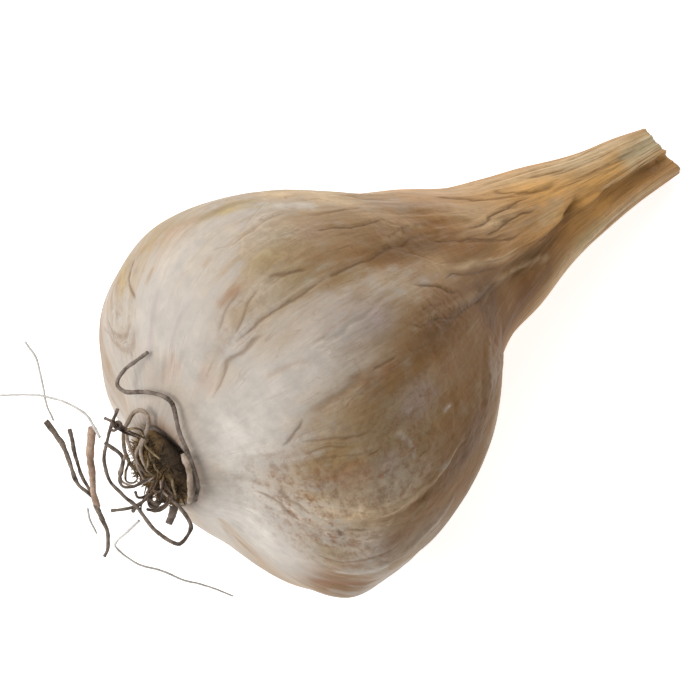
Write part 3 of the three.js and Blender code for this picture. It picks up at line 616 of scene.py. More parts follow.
def marked(turn, along, out):
    """(height in mm, {tone: 0 to 1}) of the marks, ledges and patches

    "crease" is the signed distance in mm to the nearest line, and "crease_depth" its strength, so that a
    line stays thinner than the mesh's faces.
    """
    degree = degree_at(out)
    height = np.zeros_like(along)
    tones = {tone: np.zeros_like(along) for tone in SKIN_TONES}
    creases = {"crease": np.full(along.shape, CREASE_REACH), "crease_depth": np.zeros_like(along)}
    for tone, patches in PATCHES.items():
        for *place, strength in patches:
            tones[tone] += strength * patch(turn, along, *place)
    waver = ripple(turn, along, 70, 4, 11) * 0.35 + ripple(turn, along, 150, 1.8, 12) * 0.2
    for tone, strength, width, rise, lip, route in MARKS:
        spot = near_route(turn, along, degree, route, 4 * width + 1)
        apart, passed = over_route(turn[spot], along[spot], degree[spot], route)
        apart = apart + waver[spot]
        fade = smooth(passed, *MARK_COMES_IN) * (1 - smooth(passed, *MARK_GOES_OUT))
        if len(route) == 2:
            fade = 1
        line = bell(apart, 0, width) * fade
        # a line's fold is darkened with stain and painted shade
        if tone == "line":
            note_crease(creases, spot, apart, strength * fade)
            rise *= LINE_PRESS
            tone = "umber"
            strength *= LINE_SHADE_AND_STAIN
        beside = bell(apart, LIP_BESIDE * width, LIP_WIDTH * width) * fade
        height[spot] += rise * line + lip * beside
        tones[tone][spot] = np.maximum(tones[tone][spot], strength * line)
    for drop, reach, painted_shade, route in LEDGES:
        spot = near_route(turn, along, degree, route, reach * 1.6)
        apart, passed = over_route(turn[spot], along[spot], degree[spot], route)
        below = -apart - 0.5 * waver[spot]
        fade = smooth(passed, *LEDGE_COMES_IN) * (1 - smooth(passed, *LEDGE_GOES_OUT))
        under = smooth(below, *LEDGE_EDGE) * (1 - smooth(below, LEDGE_EDGE[1], reach)) * fade
        height[spot] += -drop * under + LEDGE_LIP_SHARE * drop * bell(below, -LEDGE_LIP, LEDGE_LIP) * fade
        # the ground under the ledge is painted darker, as shade
        tones["umber"][spot] = np.maximum(tones["umber"][spot], painted_shade * under)
        note_crease(creases, spot, below, painted_shade * fade)
    for tone, strength, ring, half_width, strongest in HOLLOW_STAIN_AND_SHADE:
        ring_stain_and_shade = bell(out, ring, half_width) * (along < HOLLOW_END)
        tones[tone] += strength * ring_stain_and_shade * facing(turn, strongest)
    found = {tone: np.clip(values, 0, 1) for tone, values in tones.items()}
    return height, {**found, **creases}


# where the skin is finely crumpled: (turn, along, half width in degrees, half length in mm, strength)
CRUMPLED = [
    (-34, 22, 24, 13, 1), (-6, 38, 9, 6, 0.9), (28, 44, 16, 12, 0.6), (-48, 9, 12, 3, 0.8),
    (26, 13, 7, 6, 0.4), (88, 8, 12, 5, 0.5), (-64, 12, 14, 6, 0.6), (-30, 8, 10, 3, 0.5),
    (66, 30, 10, 10, 0.4), (-40, 44, 24, 8, 0.8), (-120, 30, 30, 16, 0.6), (140, 26, 34, 16, 0.6),
    (36, 24, 10, 6, 0.5),
]


def crumpled(turn, along):
    """0 to 1, where the skin is finely crumpled"""
    total = np.zeros_like(along)
    for *place, strength in CRUMPLED:
        total += strength * patch(turn, along, *place)
    return np.clip(total, 0, 1)


# where the skin has sunk in or stands out: (turn, along, half width, half length, height in mm)
DENTS = [
    (75, 43, 16, 8, -0.35), (-88, 20, 14, 8, -0.45), (-84, 54, 12, 5, -0.5), (80, 86, 30, 4, 0.35),
]
PLEATS_BEGIN = (44, 62)     # along: where the skin gathers into the neck's pleats
NECK_DRAWN_IN = 0.3         # mm that the dried neck has drawn in between them


def relief(turn, along):
    """how far the skin stands off its smooth form between the marks, in mm

    Each ripple's numbers are its cells round the bulb, their length in mm and its seed.
    """
    on_neck = smooth(along, *PLEATS_BEGIN)
    sway = ripple(turn, along, 10, 14, 1) * 5
    ribs = ripple(turn + sway, along, 112, 13, 2)
    pleats = ripple(turn + sway, along, 36, 22, 3)
    height = 0.02 * ribs + 0.03 * ripple(turn + sway, along, 50, 20, 4) - NECK_DRAWN_IN * on_neck
    height += on_neck * (0.2 * pleats + 0.05 * ribs)
    height += 0.08 * ripple(turn, along, 26, 9, 5) + 0.14 * ripple(turn, along, 12, 14, 6)
    for *place, rise in DENTS:
        height += rise * patch(turn, along, *place)
    crease = 1 - 2 * np.abs(ripple(turn + 4 * ripple(turn, along, 60, 5, 7), along, 90, 3.4, 8))
    fine = 1 - 2 * np.abs(ripple(turn + 2 * ripple(turn, along, 90, 3, 9), along, 160, 2, 10))
    return height + crumpled(turn, along) * (0.12 * crease + 0.08 * fine)


def hem_at(hem, turn):
    """how far along a leaf's hem is, before it is torn"""
    return np.interp(turn, hem[:, 0], hem[:, 1])


def upper_edge_at(along):
    """turn of the upper leaf's free edge on the face"""
    return np.interp(along, UPPER_EDGE[:, 0], UPPER_EDGE[:, 1])


def side_edge_at(along):
    """turn of the side leaf's free edge on the face"""
    return LEAF_EDGE + EDGE_SHIFT * smooth(along, *BARE_CLOSES)


# the seeds of the two leaves' torn hems, and how far along the hems start on the face, in mm
UPPER_TEAR = 50
SIDE_TEAR = 60
HEM_REACH = 20.0
COVER_FADES = (0.2, 2.8)    # mm inside a leaf's rim over which the skin under it sinks


def torn(turn, seed):
    """how far a torn hem strays, in mm"""
    flat = np.zeros_like(turn)
    return ripple(turn, flat, 44, 10, seed) * 1.4 + ripple(turn, flat, 130, 10, seed + 1) * 0.6


def covered(turn, along, out):
    """0 to 1, where an outer leaf lies over the inner skin"""
    beyond_start = away(turn, LEAF_EDGE) % 360
    unrolled = LEAF_EDGE + beyond_start
    on_upper = unrolled < BACK_SEAM + 360
    upper_hem = hem_at(UPPER_HEM, unrolled) + torn(unrolled, UPPER_TEAR)
    side_hem = hem_at(SIDE_HEM, unrolled - 360) + torn(unrolled, SIDE_TEAR)
    hem = np.where(on_upper, upper_hem, side_hem)
    side_edge = side_edge_at(along) + 360
    from_edge = np.where(on_upper, unrolled - upper_edge_at(along), side_edge - unrolled) * degree_at(out)
    return smooth(np.minimum(along - hem, from_edge), *COVER_FADES)


def normals_of(points):
    """unit normals of a grid of points, pointing out of the bulb"""
    down = np.gradient(points, axis=0)
    across = np.gradient(points, axis=1)
    normal = np.cross(down, across)
    length = np.linalg.norm(normal, axis=-1, keepdims=True)
    return normal / np.maximum(length, 1e-9)


to_row = Matrix.Rotation(math.radians(REST_TILT), 3, "Y") @ Matrix.Rotation(math.radians(REST_TURN), 3, "X")
CLEARANCE = 0.02     # mm that the lowest point keeps above the surface it lies on


def in_row(points):
    """points in the bulb's own axes (mm) as points in the part's frame (m), kept above the surface"""
    placed = points @ np.array(to_row).T + np.array(REST_PLACE)
    placed[..., 2] = np.maximum(placed[..., 2], CLEARANCE)
    return placed * MM


def skin_grid(station, turn, lift):
    """points, lift mm over the smooth skin, and their (along, out)"""
    along, out = skin(station, turn)
    slant = TIP_SLANT * smooth(along, *TIP_SLANTS) * np.maximum(np.cos(np.radians(turn)), 0)
    ragged = smooth(along, *TIP_RAGGED) * (0.18 * ripple(turn, along * 0, 24, 10, 30) - 0.2)
    x = along - slant + ragged
    y = out * np.sin(np.radians(turn))
    z = out * np.cos(np.radians(turn))
    points = np.stack([x, y, z], axis=-1)
    return points + normals_of(points) * lift[..., None], along, out


# ---------------------------------------------------------------- meshes
collection = bpy.context.scene.collection


def placed_object(name, data):
    """an object at the origin, put in the scene"""
    obj = bpy.data.objects.new(name, data)
    collection.objects.link(obj)
    return obj


def make_object(name, points, faces, attributes):
    """a smooth mesh object with attributes of one or three numbers a point"""
    mesh = bpy.data.meshes.new(name)
    mesh.from_pydata(points.reshape(-1, 3).tolist(), [], faces)
    mesh.update()
    for label, values in attributes.items():
        values = np.asarray(values, np.float32)
        if values.ndim == 1:
            layer = mesh.attributes.new(label, "FLOAT", "POINT")
            layer.data.foreach_set("value", values)
        else:
            layer = mesh.attributes.new(label, "FLOAT_VECTOR", "POINT")
            layer.data.foreach_set("vector", values.ravel())
    mesh.polygons.foreach_set("use_smooth", [True] * len(mesh.polygons))
    return placed_object(name, mesh)


ROUND_THE_BACK = (92, 120)      # degrees from the face at which the side that lies down begins


def paint(turn, along, tones):
    """the attributes that the skins' materials read"""
    hidden = smooth(np.abs(away(turn, 0)), *ROUND_THE_BACK)
    tan_blotches = np.clip(ripple(turn, along, 14, 13, 40) + 0.3, 0, 1)
    umber_blotches = np.clip(ripple(turn, along, 22, 10, 41), 0, 1)
    found = dict(tones)
    found["tan"] = np.clip(found["tan"] + hidden * 0.9 * tan_blotches, 0, 1)
    found["umber"] = np.clip(found["umber"] + hidden * 0.6 * umber_blotches, 0, 1)
    # the neck is paler straw on the side that lies down
    found["neck"] = smooth(along + 3 * ripple(turn, along, 18, 9, 42), 40, 56) * (1 - 0.45 * hidden)
    yellowed = 0.35 * smooth(along, 7, 20) + 0.3 * smooth(along, 22, 40)
    yellowed = yellowed * (0.6 + 0.4 * np.cos(np.radians(turn - 5)))
    found["warm"] = yellowed * (1 + 0.25 * ripple(turn, along, 16, 11, 43))
    found["crumple"] = crumpled(turn, along)
    # the ribs flatten out towards the root plate
    found["ribbed"] = 0.25 + 0.75 * smooth(along, 6, 20)
    around = np.radians(turn)
    found["grain"] = np.stack([np.cos(around), np.sin(around), along], axis=-1)
    return found


def flat_attributes(found):
    """the attributes of a grid as flat lists"""
    flat = {}
    for label, values in found.items():
        flat[label] = values.reshape(-1, 3) if values.ndim == 3 else values.ravel()
    return flat


def grid_faces(rows, columns, first=0, flip=False, closed=False):
    """the faces of a grid of points that begins at the first, and may close up round"""
    faces = []
    last = columns if closed else columns - 1
    for row in range(rows - 1):
        for column in range(last):
            after = (column + 1) % columns
            a = first + row * columns + column
            b = first + row * columns + after
            c = first + (row + 1) * columns + after
            d = first + (row + 1) * columns + column
            faces.append((a, b, c, d) if flip else (d, c, b, a))
    return faces


def closed_faces(rows, columns):
    """the faces of a grid that closes up round, with a fan to a point at each end

    The two points come after the grid's own: first the one at the first row, then the one at the last.
    """
    faces = grid_faces(rows, columns, closed=True)
    first_point = rows * columns
    last_row = first_point - columns
    for column in range(columns):
        after = (column + 1) % columns
        faces.append((first_point, column, after))
        faces.append((last_row + after, last_row + column, first_point + 1))
    return faces


# the cut end of the inner neck: rings of dried sheaths, (share of the way in, mm back from the cut)
CUT_RINGS = [
    (0.08, 0.0), (0.13, 1.3), (0.24, 1.5), (0.28, 0.3), (0.35, 0.1), (0.4, 1.6), (0.52, 1.7),
    (0.56, 0.5), (0.63, 0.4), (0.68, 1.7), (0.8, 1.8), (0.84, 0.9), (0.92, 0.8),
]
SKIN_COLUMNS = 420
SKIN_ROWS = 222
# (share of the rows, share of the way over the skin): closer together on the cloves than under the leaves
ROW_SHARES = [0, 0.82, 1]
ROW_TRAVEL = [0.004, 0.55, 1]
FACE_CROWDING = 20          # degrees that the columns crowd towards the face
SUNK_UNDER_LEAF = 0.34      # mm
CORE_HOLLOW = 1.4           # mm that the neck's core dips at its middle


def bulb_skin():
    """the cloves in their inner skin, with the inner neck"""
    travel = np.interp(np.linspace(0, 1, SKIN_ROWS), ROW_SHARES, ROW_TRAVEL)
    round_it = np.arange(SKIN_COLUMNS) * 360 / SKIN_COLUMNS
    round_it = round_it - FACE_CROWDING * np.sin(np.radians(round_it))
    station, turn = np.meshgrid(station_after(travel), round_it, indexing="ij")
    along, out = skin(station, turn)
    height, tones = marked(turn, along, out)
    lift = relief(turn, along) + height - SUNK_UNDER_LEAF * covered(turn, along, out)
    points, along, out = skin_grid(station, turn, lift)
    points[..., 0] -= NECK_CORE_SHORT * smooth(along, *CORE_DRAWN_IN)
    found = paint(turn, along, tones)
    rim = points[-1]
    middle = rim.mean(axis=0)
    rings = [points]
    for inward, back in CUT_RINGS:
        ring = rim + (middle - rim) * inward
        ring[..., 0] -= back - 0.25 * ripple(turn[-1], along[-1] * 0, 12, 10, 31 + len(rings))
        rings.append(ring[None])
    for label, values in found.items():
        found[label] = np.concatenate([values] + [values[-1:]] * len(CUT_RINGS))
    attributes = flat_attributes(found)
    for label, values in attributes.items():
        attributes[label] = np.concatenate([values, values[:1], values[-1:]])
    root_pole = [points[0, :, 0].mean(), 0, 0]
    tip_pole = middle - [CORE_HOLLOW, 0, 0]
    flat = np.concatenate([np.concatenate(rings).reshape(-1, 3), [root_pole, tip_pole]])
    faces = closed_faces(SKIN_ROWS + len(CUT_RINGS), SKIN_COLUMNS)
    return make_object("bulb_skin", in_row(flat), faces, attributes)


# a leaf's rim lies just under the inner skin's face, so that no dark gap shows along it: mm, and how far in
RIM_SINKS = 0.13
RIM_WIDTH = 1.4
LEAF_PROUD = 0.02
# mm of its thickness at the rim, what it gains, and how far in
RIM_THICKNESS = 0.05
LEAF_GAINS = 0.11
THICK_AFTER = 2.5
ROW_CROWDING = 0.3          # how far a leaf's rows crowd towards its hem


def leaf(name, rows, columns, hem, edges_at, seed, lift_at, crowding):
    """an outer leaf: a thin sheet from its torn hem to the cut end of the neck"""
    across = np.linspace(0, 1, columns)
    across = (1 - crowding) * across + crowding * across ** 2
    first, last = edges_at(np.array([HEM_REACH]))
    hem_turn = first + (last - first) * across
    hem_along = hem_at(hem, hem_turn) + torn(hem_turn, seed)
    down = np.linspace(0, 1, rows)
    down = (1 - ROW_CROWDING) * down + ROW_CROWDING * down ** 2
    travel, share = np.meshgrid(down, across, indexing="ij")
    start = np.interp(station_at(hem_along), EVEN_STATIONS, EVEN_TRAVEL) / EVEN_TRAVEL[-1]
    station = station_after(start[None, :] + (1 - start[None, :]) * travel)
    along, _ = skin(station, hem_turn[None, :] + 0 * station)
    first, last = edges_at(along)
    turn = first + (last - first) * share
    along, out = skin(station, turn)
    from_hem = along - hem_at(hem, turn) - torn(turn, seed)
    from_side = np.minimum(turn - first, last - turn) * degree_at(out)
    inside = np.minimum(np.maximum(from_hem, 0), from_side)
    height, tones = marked(turn, along, out)
    rim = RIM_SINKS * (1 - smooth(inside, 0, RIM_WIDTH))
    base = relief(turn, along) + height + LEAF_PROUD - rim + lift_at(turn, along)
    thick = RIM_THICKNESS + LEAF_GAINS * smooth(inside, 0, THICK_AFTER)
    outer, _, _ = skin_grid(station, turn, base)
    inner, _, _ = skin_grid(station, turn, base - thick)
    found = flat_attributes(paint(turn, along, tones))
    attributes = {label: np.concatenate([values, values]) for label, values in found.items()}
    count = rows * columns
    faces = grid_faces(rows, columns) + grid_faces(rows, columns, count, flip=True)
    for row in range(rows - 1):
        a = row * columns
        b = a + columns
        faces.append((b, a, a + count, b + count))
        a += columns - 1
        b += columns - 1
        faces.append((a, b, b + count, a + count))
    end = (rows - 1) * columns
    for column in range(columns - 1):
        faces.append((column, column + 1, column + 1 + count, column + count))
        a = end + column
        faces.append((a + 1, a, a + count, a + 1 + count))
    points = np.concatenate([outer.reshape(-1, 3), inner.reshape(-1, 3)])
    return make_object(name, in_row(points), faces, attributes)


# degrees that each leaf reaches past the seam at the back, and where the neck's crest begins
UPPER_PAST_SEAM = 3.0
SIDE_PAST_SEAM = 1.0
CREST_BEGINS = (44, 56)
CREST_RISES = (62, 76)
CREST_WIDTH = 7             # degrees
TUCKED_IN = 0.17            # mm that the side leaf lies lower under the upper one


def upper_edges(along):
    """the turns at which the upper leaf begins and ends"""
    return upper_edge_at(along), np.full_like(along, BACK_SEAM + 360 + UPPER_PAST_SEAM)


def side_edges(along):
    """the turns at which the side leaf begins and ends"""
    return np.full_like(along, BACK_SEAM - SIDE_PAST_SEAM), side_edge_at(along)


def upper_lift(turn, along):
    """its free edge stands a little proud on the neck"""
    beside_edge = bell(turn, upper_edge_at(along), CREST_WIDTH)
    return beside_edge * (0.2 * smooth(along, *CREST_BEGINS) + 0.35 * smooth(along, *CREST_RISES))


def side_lift(turn, along):
    """it lies under the upper leaf at both seams"""
    under_upper = smooth(turn, LEAF_EDGE - 4, LEAF_EDGE) * smooth(along, *CREST_BEGINS)
    under_back = 1 - smooth(turn, BACK_SEAM + 4, BACK_SEAM + 9)
    return -TUCKED_IN * np.maximum(under_upper, under_back)


skin_piece = bulb_skin()
# both leaves have their columns closer together towards the face, where the one begins and the other ends
upper_piece = leaf("upper_leaf_skin", 196, 250, UPPER_HEM, upper_edges, UPPER_TEAR, upper_lift, 0.5)
side_piece = leaf("side_leaf_skin", 200, 220, SIDE_HEM, side_edges, SIDE_TEAR, side_lift, -0.5)


# ---------------------------------------------------------------- materials
def colour(code):
    """an sRGB hex value as linear red, green, blue and alpha"""
    channels = [int(code[i:i + 2], 16) / 255 for i in (1, 3, 5)]
    linear = [c / 12.92 if c <= 0.04045 else ((c + 0.055) / 1.055) ** 2.4 for c in channels]
    return (*linear, 1)


def add(tree, kind, inputs=None, **settings):
    """a node with its settings, and its inputs set or linked"""
    node = tree.nodes.new(kind)
    for label, value in settings.items():
        setattr(node, label, value)
    for label, value in (inputs or {}).items():
        if isinstance(value, bpy.types.NodeSocket):
            tree.links.new(value, node.inputs[label])
        else:
            node.inputs[label].default_value = value
    return node


def new_material(name):
    """an empty material and its tree"""
    material = bpy.data.materials.new(name)
    material.use_nodes = True
    material.node_tree.nodes.clear()
    return material, material.node_tree


def finish_material(tree, shader):
    """gives the surface its shader"""
    add(tree, "ShaderNodeOutputMaterial", {"Surface": shader.outputs[0]})


def ranges(low, high, to_low, to_high):
    """the two ends of a range of values, and what they become"""
    return {"From Min": low, "From Max": high, "To Min": to_low, "To Max": to_high}


def thin_lines(tree, distance, inner, outer):
    """1 on a line and 0 away from it, from a signed distance to it"""
    either_side = add(tree, "ShaderNodeMath", {0: distance}, operation="ABSOLUTE").outputs[0]
    return add(tree, "ShaderNodeMapRange", {
        "Value": either_side, **ranges(inner, outer, 1, 0),
    }, interpolation_type="SMOOTHSTEP").outputs[0]


# browned fibres, browned specks, and the stain and painted shade in a fold
BROWNED = "#8f7047"
SPECK_BROWN = "#86603f"
FOLD_SHADE_AND_STAIN = "#6a4d31"
FOLD_DARKENING = 0.72           # how much of a fold's depth shows as stain and painted shade
PATCH_SPREAD = 0.6          # power that carries the streaks' breakup out to a patch's edge
DRY_IOR = 1.45              # dried cellulose
SKIN_SPECULAR = 0.2         # papery, so it shines less than a smooth skin would


def dried_skin(name, roughness, ground, vein_strength):
    """Dried garlic skin: papery, satin, finely ribbed lengthways, stained tan where it has browned."""
    material, tree = new_material(name)
    place = add(tree, "ShaderNodeTexCoord").outputs["Object"]
    given = {
        label: add(tree, "ShaderNodeAttribute", attribute_name=label).outputs["Fac"]
        for label in ("ribbed", "crumple", "warm", "crease", "crease_depth", *SKIN_TONES)
    }
    grain = add(tree, "ShaderNodeAttribute", attribute_name="grain").outputs["Vector"]
    # along the grain: fibres a millimetre apart on the belly, longer streaks, and veins between them
    lengthways = {}
    for label, round_it, along, settings in (
        ("ribs", 46, 0.16, {"Detail": 3, "Roughness": 0.6}),
        ("streaks", 14, 0.12, {"Detail": 4, "Roughness": 0.65}),
        ("veins", 13, 0.11, {"Detail": 2, "Roughness": 0.5, "Distortion": 0.15}),
    ):
        drawn_out = add(tree, "ShaderNodeMapping", {"Vector": grain, "Scale": (round_it, round_it, along)})
        noise = add(tree, "ShaderNodeTexNoise", {"Vector": drawn_out.outputs[0], "Scale": 1, **settings})
        lengthways[label] = noise.outputs[0]
    # all over: a mottle 3 mm and 1 mm across, paper fibre, specks and crinkles
    mottle = add(tree, "ShaderNodeTexNoise", {
        "Vector": place, "Scale": 300, "Detail": 5, "Roughness": 0.62,
    }).outputs[0]
    fibre = add(tree, "ShaderNodeTexNoise", {"Vector": place, "Scale": 1500, "Detail": 2}).outputs[0]
    specks = add(tree, "ShaderNodeTexNoise", {
        "Vector": place, "Scale": 620, "Detail": 6, "Roughness": 0.72,
    }).outputs[0]
    crinkle = add(tree, "ShaderNodeTexVoronoi", {
        "Vector": place, "Scale": 520,
    }, feature="DISTANCE_TO_EDGE").outputs["Distance"]

    # the tones: a patch's edge breaks up along the streaks, and an empty patch stays empty
    breakup = add(tree, "ShaderNodeMath", {0: lengthways["streaks"], 1: mottle}, operation="ADD").outputs[0]
    breakup = add(tree, "ShaderNodeMapRange", {
        "Value": breakup, **ranges(0.75, 1.25, -0.4, 0.4),
    }).outputs[0]
    layers = []
    for label, tone in SKIN_TONES.items():
        amount = given[label]
        spread = add(tree, "ShaderNodeMath", {0: amount, 1: PATCH_SPREAD}, operation="POWER").outputs[0]
        edge = add(tree, "ShaderNodeMath", {0: breakup, 1: spread}, operation="MULTIPLY").outputs[0]
        amount = add(tree, "ShaderNodeMath", {0: amount, 1: edge}, operation="ADD", use_clamp=True)
        layers.append((amount.outputs[0], tone))

    # folds: the creases, a quarter of a millimetre wide and wavering with the mottle, and the veins
    waver = add(tree, "ShaderNodeMapRange", {"Value": mottle, **ranges(0.3, 0.7, -0.16, 0.16)}).outputs[0]
    wavering = add(tree, "ShaderNodeMath", {0: given["crease"], 1: waver}, operation="ADD").outputs[0]
    creases = add(tree, "ShaderNodeMath", {
        0: thin_lines(tree, wavering, 0.02, 0.3), 1: given["crease_depth"],
    }, operation="MULTIPLY").outputs[0]
    centred = add(tree, "ShaderNodeMath", {0: lengthways["veins"], 1: 0.5}, operation="SUBTRACT").outputs[0]
    gaps = add(tree, "ShaderNodeMapRange", {
        "Value": mottle, **ranges(0.46, 0.6, 0, vein_strength),
    }).outputs[0]
    veins = add(tree, "ShaderNodeMath", {
        0: thin_lines(tree, centred, 0.002, 0.02), 1: gaps,
    }, operation="MULTIPLY").outputs[0]
    folds = add(tree, "ShaderNodeMath", {0: creases, 1: veins}, operation="MAXIMUM").outputs[0]

    # browned fibres where the skin has yellowed, browned specks where it is crumpled, and folds darkened
    # with stain and painted shade
    browned = add(tree, "ShaderNodeMapRange", {
        "Value": lengthways["streaks"], **ranges(0.5, 0.68, 0, 0.9),
    }).outputs[0]
    raised = add(tree, "ShaderNodeMapRange", {"Value": specks, **ranges(0.46, 0.64, 0, 0.85)}).outputs[0]
    for amount, share, tone in (
        (browned, given["warm"], BROWNED),
        (raised, given["crumple"], SPECK_BROWN),
        (folds, FOLD_DARKENING, FOLD_SHADE_AND_STAIN),
    ):
        amount = add(tree, "ShaderNodeMath", {0: amount, 1: share}, operation="MULTIPLY").outputs[0]
        layers.append((amount, tone))
    base = colour(ground)
    for amount, tone in layers:
        # 6, 7 and 2 are the mix's two colours and its result
        base = add(tree, "ShaderNodeMix", {0: amount, 6: base, 7: colour(tone)}, data_type="RGBA").outputs[2]

    # the fibres' valleys are darkened a little as painted shade, and the mottle darkens and lightens the
    # tone at random
    ribs = add(tree, "ShaderNodeMath", {0: lengthways["ribs"], 1: 0.5}, operation="SUBTRACT").outputs[0]
    ribs = add(tree, "ShaderNodeMath", {0: ribs, 1: given["ribbed"]}, operation="MULTIPLY").outputs[0]
    shade = add(tree, "ShaderNodeMapRange", {"Value": ribs, **ranges(-0.2, 0.2, 0.93, 1.06)}).outputs[0]
    speck = add(tree, "ShaderNodeMapRange", {"Value": mottle, **ranges(0.3, 0.7, 0.88, 1.1)}).outputs[0]
    shade = add(tree, "ShaderNodeMath", {0: shade, 1: speck}, operation="MULTIPLY").outputs[0]
    base = add(tree, "ShaderNodeVectorMath", {0: base, 1: shade}, operation="MULTIPLY").outputs[0]

    # relief, each layer over the one before it: (height, strength, depth in mm, whether it is pressed in)
    crinkled = add(tree, "ShaderNodeMath", {
        0: crinkle, 1: given["crumple"],
    }, operation="MULTIPLY").outputs[0]
    under = {}
    for height, strength, depth, pressed in (
        (folds, 0.35, 0.2, True),
        (ribs, 0.3, 0.3, False),
        (crinkled, 0.5, 0.6, False),
        (fibre, 0.25, 0.2, False),
    ):
        bump = add(tree, "ShaderNodeBump", {
            "Height": height, "Strength": strength, "Distance": depth * MM, **under,
        }, invert=pressed)
        under = {"Normal": bump.outputs[0]}
    shader = add(tree, "ShaderNodeBsdfPrincipled", {
        "Base Color": base, "Roughness": roughness, "IOR": DRY_IOR, "Specular IOR Level": SKIN_SPECULAR,
        **under,
    })
    finish_material(tree, shader)
    return material


inner_skin = dried_skin("papery_inner_skin", 0.52, "#bdb4aa", 0.25)
outer_leaf = dried_skin("dried_outer_leaf", 0.58, "#b9ad9f", 0.4)
side_leaf = dried_skin("dried_side_leaf", 0.6, "#b0a08f", 0.45)


ROOT_BLOTCHES = (0.36, 0.66)        # where the blotches turn from dark to light


def dry_root_material(name, light, dark, roughness):
    """Dried garlic root: dull and fibrous, grey-brown with darker nodes and shrivelled lengthways."""
    material, tree = new_material(name)
    place = add(tree, "ShaderNodeTexCoord").outputs["Object"]
    blotches = add(tree, "ShaderNodeTexNoise", {
        "Vector": place, "Scale": 600, "Detail": 4, "Roughness": 0.7,
    })
    wrinkles = add(tree, "ShaderNodeTexNoise", {"Vector": place, "Scale": 3200, "Detail": 2})
    tone = add(tree, "ShaderNodeValToRGB", {"Fac": blotches.outputs[0]})
    for element, position, code in zip(tone.color_ramp.elements, ROOT_BLOTCHES, (dark, light)):
        element.position = position
        element.color = colour(code)
    bump = add(tree, "ShaderNodeBump", {
        "Height": wrinkles.outputs[0], "Strength": 0.6, "Distance": 0.2 * MM,
    })
    shader = add(tree, "ShaderNodeBsdfPrincipled", {
        "Base Color": tone.outputs[0], "Roughness": roughness, "IOR": DRY_IOR, "Normal": bump.outputs[0],
    })
    finish_material(tree, shader)
    return material


root_material = dry_root_material("dry_root", "#94867a", "#4a3d33", 0.85)
pale_root_material = dry_root_material("pale_dry_root", "#bcaa9b", "#85735f", 0.8)
fork_material = dry_root_material("split_root", "#cdb09b", "#957a66", 0.85)
hair_material = dry_root_material("hair_root", "#d8d4cf", "#b8b3ad", 0.8)
fibre_material = dry_root_material("matted_rootlet", "#a5916f", "#4c3a26", 0.9)
knot_material = dry_root_material("charred_rootlet", "#6e5c4e", "#2a2019", 0.9)

PLATE_LIGHT = "#a58456"
PLATE_SHADE_AND_DARK_TONE = "#2c2117"


def plate_look():
    """Corky root plate: dull, crumbly and olive-brown, painted near black with shade in the recess at its
    upper rim.
    """
    material, tree = new_material("corky_root_plate")
    place = add(tree, "ShaderNodeTexCoord").outputs["Object"]
    blotches = add(tree, "ShaderNodeTexNoise", {
        "Vector": place, "Scale": 450, "Detail": 5, "Roughness": 0.7,
    })
    tone = add(tree, "ShaderNodeMapRange", {
        "Value": blotches.outputs[0], **ranges(0.4, 0.6, 0.08, 1),
    }).outputs[0]
    # how far a spot is towards the face, from the middle of the plate, in metres
    face = to_row @ Vector((0, 0, 1))
    from_middle = add(tree, "ShaderNodeVectorMath", {0: place, 1: REST_PLACE * MM}, operation="SUBTRACT")
    height = add(tree, "ShaderNodeVectorMath", {0: from_middle.outputs[0], 1: face}, operation="DOT_PRODUCT")
    # the face is painted darker towards the recess at the upper rim, as shade
    unshaded_share = add(tree, "ShaderNodeMapRange", {
        "Value": height.outputs["Value"], **ranges(5.2 * MM, 1.5 * MM, 0.1, 1),
    }).outputs[0]
    tone = add(tree, "ShaderNodeMath", {0: tone, 1: unshaded_share}, operation="MULTIPLY").outputs[0]
    base = add(tree, "ShaderNodeMix", {
        0: tone, 6: colour(PLATE_SHADE_AND_DARK_TONE), 7: colour(PLATE_LIGHT),
    }, data_type="RGBA")
    crumbs = add(tree, "ShaderNodeTexNoise", {"Vector": place, "Scale": 2600, "Detail": 2})
    bump = add(tree, "ShaderNodeBump", {"Height": crumbs.outputs[0], "Strength": 0.8, "Distance": 0.3 * MM})
    shader = add(tree, "ShaderNodeBsdfPrincipled", {
        "Base Color": base.outputs[2], "Roughness": 0.95, "IOR": DRY_IOR, "Normal": bump.outputs[0],
    })
    finish_material(tree, shader)
    return material


plate_material = plate_look()

